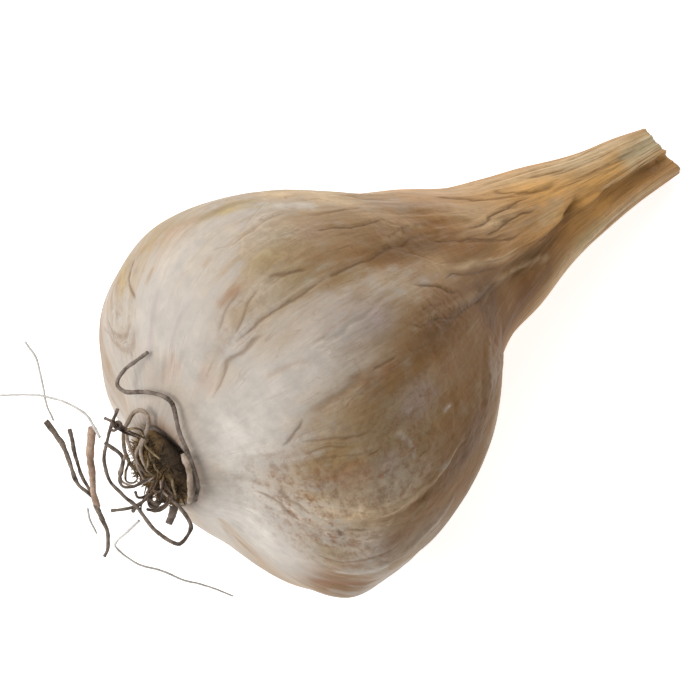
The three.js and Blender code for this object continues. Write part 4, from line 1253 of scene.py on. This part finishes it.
# ---------------------------------------------------------------- roots, each along its solid's own route
# Each root is (radius, route) in mm, and a route's points are (along, towards the upper flank, towards the
# face), as in the part's source.
ROOTS = {
    "root_hook": (0.35, [
        (0.4, -6, 3.9), (0.6, -4.6, 6.6), (0.9, -1.3, 8.5), (1.4, 2.8, 9.1), (2.6, 6.6, 9.6),
        (2.5, 8.3, 8.7), (1.7, 10.4, 5.3), (1, 11.7, 2.2), (1.2, 13, 1.1), (2.1, 14, 2.8), (4.4, 14.4, 8),
    ]),
    "root_loop": (0.28, [
        (-2, 1.5, -0.2), (-2.2, 3.2, 0.8), (-1, 4.6, 2.9), (0.2, 6, 4.6), (0.6, 7.3, 5.2),
        (0.4, 8.4, 4.4), (-0.2, 8.5, 3.2), (-1.6, 7.4, 1.7), (-2.3, 6, 0.3), (-2.5, 3.2, -1.1),
        (-2, 1.9, -1.9),
    ]),
    "root_long": (0.3, [
        (-1.7, -4.2, 2.2), (-1.9, -6.2, 3.5), (-1.9, -8.8, 3.1), (-3.8, -10, 1.6), (-4.3, -9.6, 1.1),
        (-5.2, -6.4, -0.3), (-5.2, -2.5, -1.2), (-5.7, -0.1, -1.8), (-6.1, 2.4, -2), (-5.5, 4.9, -1.6),
        (-4.4, 6.6, -1), (-2.1, 8.7, -0.5), (-0.1, 10.2, -0.1),
    ]),
    "root_ring": (0.27, [
        (-4.8, 7.2, 0.5), (-3.7, 4.3, 0.4), (-4.4, 2.7, -0.4), (-5.6, 1.9, -0.3), (-5.8, 0.9, -0.1),
        (-4.8, 0.1, 0.2), (-2.8, -0.1, 0.5), (-1.6, -0.3, 0.7),
    ]),
    "root_stub": (0.65, [(-1.4, -5.3, 0.9), (-2.2, -6.1, 0.8), (-3.3, -6.8, 0.5)]),
    "root_side": (0.4, [
        (0.7, 0.2, 8.1), (0.2, -1.6, 8.2), (-0.2, -3.1, 7.5), (-0.6, -4.7, 6.2), (-0.8, -5.9, 4.6),
    ]),
    "root_spur": (0.25, [(-7.4, -1.1, -4.1), (-6.1, -1.8, -3.5), (-4.5, -2.3, -3.2), (-1.5, -2.4, -2.9)]),
    "root_curl_1": (0.3, [
        (-1.8, -2.7, 1.6), (-2.8, -3.6, 1.2), (-3.5, -3.8, 0.5), (-3.8, -2.9, -0.1), (-3.2, -2, 0.4),
    ]),
    "root_curl_2": (0.27, [(-1.9, -1.4, -1.3), (-2.8, -2, -1.8), (-4.1, -1.5, -1.5), (-4.3, -0.7, -0.8)]),
    "root_top": (0.25, [(-1.7, 10.1, -1.9), (-0.4, 8, -1.5), (-0.2, 6.7, -1.4)]),
}
THREADS = {
    "thread_upper": (0.16, [
        (-4.6, 8.2, -0.3), (-4.2, 9.5, -1.1), (-3.6, 11.8, -2.3), (-4.1, 14.8, -4.8), (-5.2, 17.5, -8.1),
        (-7.8, 20.6, -13.8),
    ]),
    "thread_left": (0.15, [
        (-2.1, 24.8, -9.4), (-2.3, 22, -8.9), (-3.4, 18.9, -9), (-4.6, 15.7, -9.2), (-4.9, 13.6, -9.4),
    ]),
    "thread_lower": (0.15, [
        (-5.3, -4.3, -2.6), (-6.4, -4.8, -6.5), (-6.1, -5.1, -11), (-5.2, -6, -13.7), (-3.6, -9.2, -14.1),
        (-1.1, -11.9, -14), (0.9, -14.5, -14.1), (3.1, -16.5, -14.2), (4.8, -18.4, -14.4), (6.2, -20, -14.8),
    ]),
    "thread_fork": (0.15, [(-6.8, 0.9, -11.3), (-6.9, -0.5, -12.4), (-6.5, -2.7, -13.9)]),
}
# (radius, share of it left at the end, look, route)
FORK_PRONGS = [
    (0.43, 0.6, root_material, [
        (-6.3, 14.1, -8.7), (-6, 10.9, -8.7), (-6.2, 7.7, -9.2), (-6.7, 4.8, -9.9), (-6, 2, -9.8),
    ]),
    (0.34, 0.7, root_material, [(-4.7, 11.4, -7), (-5.4, 8.4, -8), (-5.9, 5.4, -9), (-5.9, 2.2, -9.6)]),
    (0.62, 0.7, fork_material, [
        (-3.8, 9.8, -2.6), (-4.9, 7, -5.1), (-5.3, 4.6, -7.1), (-5.8, 2.3, -9.1), (-5.9, 0.4, -10.4),
    ]),
    (0.42, 0.6, root_material, [
        (-5.8, 2.3, -9.1), (-5.9, 0.4, -10.4), (-5.8, -1.6, -11.5), (-5.8, -3.8, -12.6), (-6.5, -5.3, -13.8),
        (-7.2, -5.9, -14.4),
    ]),
]


def socket_id(tree, label):
    """the identifier of the tree's input of this name"""
    for item in tree.interface.items_tree:
        if item.name == label and item.in_out == "INPUT":
            return item.identifier
    raise KeyError(label)


def new_tree(name, inputs):
    """a geometry tree with its named inputs, and the sockets that give their values"""
    tree = bpy.data.node_groups.new(name, "GeometryNodeTree")
    for label, kind in (("Geometry", "Geometry"), *inputs, ("Seed", "Int"), ("Material", "Material")):
        tree.interface.new_socket(label, in_out="INPUT", socket_type="NodeSocket" + kind)
    tree.interface.new_socket("Geometry", in_out="OUTPUT", socket_type="NodeSocketGeometry")
    return tree, add(tree, "NodeGroupInput").outputs


def finish_tree(tree, geometry, look):
    """makes a tree's copies real, gives them their look and hands them out"""
    real = add(tree, "GeometryNodeRealizeInstances", {"Geometry": geometry})
    painted = add(tree, "GeometryNodeSetMaterial", {"Geometry": real.outputs[0], "Material": look})
    add(tree, "NodeGroupOutput", {"Geometry": painted.outputs[0]})
    return tree


def tube_along(tree, line, sides, width):
    """a closed tube round a line, of the width that each of its points has"""
    ring = add(tree, "GeometryNodeCurvePrimitiveCircle", {"Resolution": sides, "Radius": 1})
    return add(tree, "GeometryNodeCurveToMesh", {
        "Curve": line, "Profile Curve": ring.outputs[0], "Scale": width, "Fill Caps": True,
    }).outputs[0]


def root_tree():
    """Geometry nodes: a shrivelled root that follows a line, thick at its base and thin at its end"""
    tree, given = new_tree("shrivelled_root", (
        ("Thickness", "Float"), ("End share", "Float"), ("Wobble", "Float"), ("Step", "Float"),
    ))
    line = add(tree, "GeometryNodeResampleCurve", {
        "Curve": given["Geometry"], "Length": given["Step"],
    }, mode="LENGTH")
    place = add(tree, "GeometryNodeInputPosition").outputs[0]
    # it wanders every few millimetres, and thickens and thins in knots of a millimetre or two
    wander, knots = (
        add(tree, "ShaderNodeTexNoise", {
            "Vector": place, "W": given["Seed"], "Scale": scale, "Detail": 2,
        }, noise_dimensions="4D")
        for scale in (420, 900)
    )
    centred = add(tree, "ShaderNodeVectorMath", {
        0: wander.outputs["Color"], 1: (0.5, 0.5, 0.5),
    }, operation="SUBTRACT")
    push = add(tree, "ShaderNodeVectorMath", {
        0: centred.outputs[0], "Scale": given["Wobble"],
    }, operation="SCALE")
    moved = add(tree, "GeometryNodeSetPosition", {"Geometry": line.outputs[0], "Offset": push.outputs[0]})
    share = add(tree, "GeometryNodeSplineParameter").outputs["Factor"]
    taper = add(tree, "ShaderNodeMapRange", {"Value": share, "To Min": 1, "To Max": given["End share"]})
    knots = add(tree, "ShaderNodeMapRange", {"Value": knots.outputs[0], **ranges(0.3, 0.7, 0.78, 1.16)})
    width = taper.outputs[0]
    for share in (knots.outputs[0], given["Thickness"]):
        width = add(tree, "ShaderNodeMath", {0: width, 1: share}, operation="MULTIPLY").outputs[0]
    tube = tube_along(tree, moved.outputs[0], 9, width)
    smoothed = add(tree, "GeometryNodeSetShadeSmooth", {"Geometry": tube})
    return finish_tree(tree, smoothed.outputs[0], given["Material"])


ROOT_TREE = root_tree()


def made_by(tree, name, source, values):
    """the plain mesh that a tree makes of a source object, which is then removed"""
    modifier = source.modifiers.new("made", "NODES")
    modifier.node_group = tree
    for label, value in values.items():
        modifier[socket_id(tree, label)] = value
    source.update_tag()
    bpy.context.view_layer.update()
    mesh = bpy.data.meshes.new_from_object(source.evaluated_get(bpy.context.evaluated_depsgraph_get()))
    mesh.name = name
    source.modifiers.remove(modifier)
    bpy.data.objects.remove(source)
    return placed_object(name, mesh)


def smooth_line(route, steps):
    """points on the curve that the solid's tube follows"""
    points = np.array(route, float)
    ends = np.concatenate([[2 * points[0] - points[1]], points, [2 * points[-1] - points[-2]]])
    spans = np.linalg.norm(np.diff(ends, axis=0), axis=1) ** 0.5
    line = []
    for i in range(1, len(ends) - 2):
        p0, p1, p2, p3 = ends[i - 1:i + 3]
        d0, d1, d2 = spans[i - 1:i + 2]
        leave = (p1 - p0) / d0 - (p2 - p0) / (d0 + d1) + (p2 - p1) / d1
        arrive = (p2 - p1) / d1 - (p3 - p1) / (d1 + d2) + (p3 - p2) / d2
        for share in np.arange(steps) / steps:
            line.append(cubic(p1, p2, leave * d1, arrive * d1, share))
    line.append(points[-1])
    return np.array(line)


ROUTE_STEPS = 8      # points on the line between two points of a route
ROOT_STEP = 0.3      # mm between a root's rings


def root_line(name, route):
    """a curve object that follows the route"""
    curve = bpy.data.curves.new(name, "CURVE")
    curve.dimensions = "3D"
    points = in_row(smooth_line(route, ROUTE_STEPS))
    spline = curve.splines.new("POLY")
    spline.points.add(len(points) - 1)
    spline.points.foreach_set("co", np.column_stack([points, np.ones(len(points))]).ravel())
    return placed_object(name, curve)


def root_piece(name, route, radius, material, seed, end_share, wobble):
    """a shrivelled root along its route: sizes in mm"""
    return made_by(ROOT_TREE, name, root_line(name + "_line", route), {
        "Thickness": radius * MM, "End share": end_share, "Wobble": wobble * MM, "Step": ROOT_STEP * MM,
        "Seed": seed, "Material": material,
    })


def joined(name, pieces):
    """several meshes, of one material each, as one piece"""
    merged = bpy.data.meshes.new(name)
    points = []
    faces = []
    smooth_faces = []
    looks = []
    look_of_face = []
    for piece in pieces:
        first = len(points)
        # a tree's Set Material comes after an empty first slot
        own_look = [look for look in piece.data.materials if look][-1]
        if own_look not in looks:
            looks.append(own_look)
        points += [tuple(v.co) for v in piece.data.vertices]
        faces += [tuple(first + v for v in face.vertices) for face in piece.data.polygons]
        smooth_faces += [face.use_smooth for face in piece.data.polygons]
        look_of_face += [looks.index(own_look)] * len(piece.data.polygons)
    merged.from_pydata(points, [], faces)
    merged.update()
    merged.polygons.foreach_set("use_smooth", smooth_faces)
    merged.polygons.foreach_set("material_index", look_of_face)
    for look in looks:
        merged.materials.append(look)
    for piece in pieces:
        bpy.data.objects.remove(piece)
    return placed_object(name, merged)


# the pale ones have kept their bark and are a little stouter than the others
PALE_ROOTS = ("root_side", "root_loop")
BARK = 1.25
# a root's seed is its number in its list, counted from here
THREAD_SEEDS = 20
PRONG_SEEDS = 30
RINGLET_SEEDS = 50
root_pieces = {}
for number, (name, (radius, route)) in enumerate(ROOTS.items()):
    look = pale_root_material if name in PALE_ROOTS else root_material
    stout = BARK if name in PALE_ROOTS else 1
    root_pieces[name] = root_piece(
        name + "_dry", route, radius * stout, look, number, end_share=0.8, wobble=0.35,
    )
for number, (name, (radius, route)) in enumerate(THREADS.items()):
    root_pieces[name] = root_piece(
        name + "_dry", route, radius * BARK, hair_material, THREAD_SEEDS + number,
        end_share=0.7, wobble=0.25,
    )
prongs = [
    root_piece("prong_%d" % number, route, radius, look, PRONG_SEEDS + number, end_share, wobble=0.5)
    for number, (radius, end_share, look, route) in enumerate(FORK_PRONGS)
]
root_pieces["root_fork"] = joined("root_fork_dry", prongs)


# ---------------------------------------------------------------- the root plate
# the disc's profile, from the middle of its face round its rim to its back: (out, along) in mm
PLATE_RINGS = [
    (0.8, -1.15), (1.7, -1.2), (2.6, -1.25), (3.5, -1.05), (4.4, -0.75), (5.2, -0.4),
    (5.8, 0.1), (6, 0.8), (5.6, 1.6), (4.8, 2.0), (2.5, 2.1),
]
PLATE_MIDDLES = [[-1.0, 0, 0], [2.1, 0, 0]]     # of its face and its back
PLATE_COLUMNS = 96
FACE_ENDS = 0.5      # mm along: the crumbly face lies before it
RIM_SMOOTH = (5.4, 6)
RAGGED_FROM = 4      # mm out
RAGGED = 0.05        # share of its radius


def plate_disc():
    """a ragged, hollow-faced corky button"""
    around = np.arange(PLATE_COLUMNS) * 360 / PLATE_COLUMNS
    level = around * 0
    rows = []
    for out, along in PLATE_RINGS:
        lumps = 0.3 * ripple(around, level + out * 3, 26, 3, 70)
        lumps = lumps + 0.2 * ripple(around, level + out * 5, 48, 2, 71)
        if along < FACE_ENDS:
            lumps = lumps * (1 - smooth(np.float64(out), *RIM_SMOOTH))
        else:
            lumps = level
        ragged = out * (1 - RAGGED * (1 + ripple(around, level, 11, 10, 72)) * (out > RAGGED_FROM))
        y = ragged * np.sin(np.radians(around))
        z = ragged * np.cos(np.radians(around))
        rows.append(np.stack([along + lumps, y, z], axis=-1))
    points = np.concatenate([*rows, PLATE_MIDDLES])
    return make_object("plate_disc", in_row(points), closed_faces(len(rows), PLATE_COLUMNS), {})


FACE_TILT = 0.82     # cosine of the steepest tilt at which stubble still stands on the plate


def stubble_tree():
    """Geometry nodes: short broken rootlets that stand all over the root plate's face"""
    tree, given = new_tree("root_stubble", (
        ("Per square metre", "Float"), ("Length", "Float"), ("Thickness", "Float"), ("Towards", "Vector"),
    ))
    normal = add(tree, "GeometryNodeInputNormal").outputs[0]
    facing_out = add(tree, "ShaderNodeVectorMath", {
        0: normal, 1: given["Towards"],
    }, operation="DOT_PRODUCT").outputs["Value"]
    on_face = add(tree, "FunctionNodeCompare", {
        0: facing_out, 1: FACE_TILT,
    }, operation="GREATER_THAN", data_type="FLOAT")
    spots = add(tree, "GeometryNodeDistributePointsOnFaces", {
        "Mesh": given["Geometry"], "Selection": on_face.outputs[0], "Density": given["Per square metre"],
        "Seed": given["Seed"],
    })
    # one stub, a unit long, bent over at its broken end
    rod = add(tree, "GeometryNodeCurveQuadraticBezier", {
        "Resolution": 5, "Start": (0, 0, -0.15), "Middle": (0.1, 0.05, 0.6), "End": (0.6, 0.2, 1),
    })
    share = add(tree, "GeometryNodeSplineParameter").outputs["Factor"]
    slim = add(tree, "ShaderNodeMapRange", {
        "Value": share, "To Min": given["Thickness"], "To Max": 0.06,
    }).outputs[0]
    stub = tube_along(tree, rod.outputs[0], 5, slim)
    # each leans its own way and has its own length
    lean = add(tree, "FunctionNodeRandomValue", {
        0: (-1.3, -1.3, -3.1), 1: (1.3, 1.3, 3.1), "Seed": given["Seed"],
    }, data_type="FLOAT_VECTOR")
    turned = add(tree, "FunctionNodeRotateRotation", {
        "Rotation": spots.outputs["Rotation"], "Rotate By": lean.outputs[0],
    }, rotation_space="LOCAL")
    share = add(tree, "FunctionNodeRandomValue", {2: 0.5, 3: 1.3, "Seed": given["Seed"]}, data_type="FLOAT")
    length = add(tree, "ShaderNodeMath", {0: share.outputs[1], 1: given["Length"]}, operation="MULTIPLY")
    planted = add(tree, "GeometryNodeInstanceOnPoints", {
        "Points": spots.outputs["Points"], "Instance": stub, "Rotation": turned.outputs[0],
        "Scale": length.outputs[0],
    })
    return finish_tree(tree, planted.outputs[0], given["Material"])


disc = plate_disc()
disc.data.materials.append(plate_material)
seed_bed = disc.copy()
collection.objects.link(seed_bed)
outward = to_row @ Vector((-1, 0, 0))
stubble = made_by(stubble_tree(), "plate_stubble", seed_bed, {
    "Per square metre": 3.4e6, "Length": 1.0 * MM, "Thickness": 0.13, "Towards": outward, "Seed": 5,
    "Material": plate_material,
})
# the rootlets matted over the plate and hanging from it: (radius in mm, look, route)
RINGLETS = [
    (0.28, pale_root_material, [
        (-2.2, 6.8, 2.6), (-2.6, 6, 2.4), (-3, 5, 2.6), (-3, 3.9, 2.2), (-2.6, 3.1, 1.1), (-2, 2.2, -1.2),
        (-1.5, 1.3, -2.9),
    ]),
    (0.24, fibre_material, [
        (-2.4, 7, 2.9), (-2.8, 6.9, 5.2), (-2.6, 6.6, 6.6), (-1.9, 5.9, 6.2), (-1.2, 5, 4.6),
    ]),
    (0.22, knot_material, [
        (-3.2, 8.4, 3.6), (-3, 7.6, 4.4), (-2.6, 6.5, 4.6), (-1.6, 5.5, 4.2), (-0.9, 4.8, 3.6),
    ]),
    (0.26, pale_root_material, [
        (-3.6, 4.1, 1.2), (-3.8, 3.4, -1), (-3.8, 2.4, -3.2), (-3.6, 1.3, -4), (-3.2, 0.3, -3.2),
        (-2.8, -0.2, -1), (-2.2, -0.4, 0.8), (-1.2, -0.4, 1.8),
    ]),
    (0.2, fibre_material, [
        (-3, 3.6, 0.5), (-3.4, 2.8, -0.5), (-3.6, 2.2, -1.6), (-3.4, 1.2, -3.2), (-3, 0.5, -2.4),
        (-2.8, 0.8, -0.9), (-2.6, 1.8, -1.1), (-1.4, 2.6, -1.7),
    ]),
    (0.26, pale_root_material, [
        (-1.1, 4.6, 3), (-2.6, 3.8, 2.5), (-2.8, 2.6, 1.7), (-2.6, 1.2, 1.3), (-1.4, 0, 0.1),
    ]),
    (0.28, pale_root_material, [
        (-1, 4.6, 3.6), (-2.2, 3.8, 3.6), (-2.6, 2.7, 3.2), (-2.6, 1.5, 2.7), (-2.2, 0.4, 2),
        (-1.2, -0.7, 1.4),
    ]),
    (0.22, pale_root_material, [
        (-1.4, 3, -0.4), (-3.2, 2, 1.7), (-3, 0.8, 1), (-2.6, -0.2, 0.4), (-1.4, -0.9, 0.7),
    ]),
    (0.24, fibre_material, [
        (-1.1, 2.6, 2.2), (-2.4, 1.7, 3.6), (-2.6, 1, 2.7), (-2.4, 0, 2.6), (-1.2, -0.8, 2.4),
    ]),
    (0.2, fibre_material, [
        (-1, 3.2, 3.6), (-1.9, 2.6, 4.4), (-2, 1.9, 4.2), (-1.1, 1.4, 3.4),
    ]),
    (0.22, fibre_material, [
        (-1.1, 1.4, 2.8), (-2.1, 0.6, 4), (-2, -0.2, 4), (-1.1, -0.7, 2.8),
    ]),
    (0.26, knot_material, [
        (-1.3, -1.3, 1.1), (-3, -1.9, 1.7), (-3, -2.4, 2.5), (-2.8, -2.4, 3.5), (-2.2, -1.9, 3.4),
        (-1.3, -1.5, 2.4),
    ]),
    (0.28, knot_material, [
        (-2.6, -2.3, -1.4), (-4.2, -3.4, 0.5), (-4.1, -4.1, 1.4), (-3.8, -4.4, 2.4), (-3.2, -4.3, 3.2),
        (-2.4, -3.7, 3.3), (-0.9, -3, 2.6),
    ]),
    (0.26, knot_material, [
        (-4.2, -3.6, -0.8), (-4.2, -4.2, 0.5), (-4, -4.6, 2), (-3.4, -4.7, 3), (-2.4, -4.2, 3.6),
        (-0.7, -3.4, 3.2),
    ]),
    (0.24, knot_material, [
        (-3.8, -2.7, 0.8), (-4, -3.3, 1.7), (-3.8, -3.4, 2.5), (-3.2, -2.8, 1.9), (-1.3, -2.4, 0.6),
    ]),
    (0.3, knot_material, [
        (-4.8, -2.7, -3.7), (-5, -2.5, -1.7), (-4.8, -2.4, 0.1), (-3.8, -2.1, 1), (-1.2, -2.1, 1.1),
    ]),
    (0.24, pale_root_material, [
        (-1.1, -1.2, 1.5), (-2.2, -2.6, 2.3), (-2.2, -4, 2.9), (-1.8, -5.3, 3.1), (-1, -6, 3.4),
    ]),
    (0.24, knot_material, [
        (-1.1, -1.3, 2.4), (-1.9, -2.5, 3.5), (-1.9, -3.8, 3.7), (-0.9, -4.6, 3.6),
    ]),
    (0.2, knot_material, [
        (-1.1, -0.7, 1.2), (-3, -1.5, 0.9), (-3.4, -1.9, -0.1), (-3.8, -2.3, -1.3), (-4.2, -3.1, -2.5),
        (-4.4, -3.8, -2.6),
    ]),
    (0.26, knot_material, [
        (-3.6, 9.1, 4.1), (-3.8, 8.5, 3.8), (-3.8, 7.8, 4.4), (-3.6, 7.8, 5.2), (-3.4, 8.3, 5.1),
        (-3.4, 8.7, 4.2), (-2.9, 7.4, 3.4), (-1.2, 5.6, 2.4),
    ]),
    (0.22, knot_material, [
        (-3.8, 8.4, 2.1), (-3.8, 7.9, 2.8), (-3.6, 7.8, 3.9), (-3, 6.8, 3.8), (-0.9, 5.2, 2.2),
    ]),
    (0.22, fibre_material, [
        (-0.4, 4.4, 3.2), (-1.6, 3.9, 4.3), (-1.6, 2.6, 4.9), (-1.2, 1.2, 5),
    ]),
    (0.24, fibre_material, [
        (-0.8, -1.8, 4.2), (-1.5, -3, 4.2), (-1.6, -4.1, 3.6), (-1.4, -4.9, 2.2), (-0.6, -5.2, 1),
    ]),
]
ringlets = [
    root_piece("ringlet_%d" % number, route, radius, look, RINGLET_SEEDS + number, end_share=0.5, wobble=0.4)
    for number, (radius, look, route) in enumerate(RINGLETS)
]
plate_piece = joined("root_plate_fibrous", [disc, stubble, *ringlets])

# ---------------------------------------------------------------- what each piece stands for
for piece, material in ((skin_piece, inner_skin), (upper_piece, outer_leaf), (side_piece, side_leaf)):
    piece.data.materials.append(material)
SLOTS = {
    "bulb": "inner_skin", "upper_leaf": "outer_leaf", "side_leaf": "side_leaf", "basal_plate": "root_plate",
    "root_fork": "root_fork", **dict.fromkeys(THREADS, "hair_root"),
}
dressed = {
    "bulb": skin_piece, "upper_leaf": upper_piece, "side_leaf": side_piece, "basal_plate": plate_piece,
    **root_pieces,
}
for node, piece in dressed.items():
    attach(piece, "root")
    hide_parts(node)

# ---------------------------------------------------------------- floor and light
FLOOR_HALF = 6       # metres
FLOOR_GLOW = 0.7
ROOM_GLOW = 0.32

floor_mesh = bpy.data.meshes.new("floor")
floor_corners = [(x * FLOOR_HALF, y * FLOOR_HALF, 0) for x, y in ((-1, -1), (1, -1), (1, 1), (-1, 1))]
floor_mesh.from_pydata(floor_corners, [], [(0, 1, 2, 3)])
floor = placed_object("floor", floor_mesh)
paper_white, floor_tree = new_material("white_card")
floor_shader = add(floor_tree, "ShaderNodeBsdfPrincipled", {
    "Base Color": colour("#f6f6f5"), "Roughness": 0.9, "Specular IOR Level": 0.1,
    "Emission Color": (1, 1, 1, 1), "Emission Strength": FLOOR_GLOW,
})
finish_material(floor_tree, floor_shader)
floor_mesh.materials.append(paper_white)

middle_of_bulb = (cad_box[0] + cad_box[1]) / 2


def soft_light(name, size, watts, right, up, toward):
    """a square soft box, placed by how far right, up and towards the camera it is, in metres"""
    light = bpy.data.lights.new(name, "AREA")
    light.shape = "SQUARE"
    light.size = size
    light.energy = watts
    lamp = placed_object(name, light)
    place = camera_right * right + camera_up * up + to_camera * toward
    lamp.location = middle_of_bulb + place
    lamp.rotation_mode = "QUATERNION"
    lamp.rotation_quaternion = (-place).to_track_quat("-Z", "Y")


soft_light("key", size=0.5, watts=3.7, right=-0.59, up=0, toward=0.47)
soft_light("top", size=0.5, watts=2.05, right=0, up=0.6, toward=0.45)

world = bpy.data.worlds.new("white_room")
world.use_nodes = True
sky = world.node_tree.nodes["Background"]
sky.inputs["Color"].default_value = (1, 1, 1, 1)
sky.inputs["Strength"].default_value = ROOM_GLOW
bpy.context.scene.world = world
bpy.context.scene.view_settings.view_transform = "Standard"
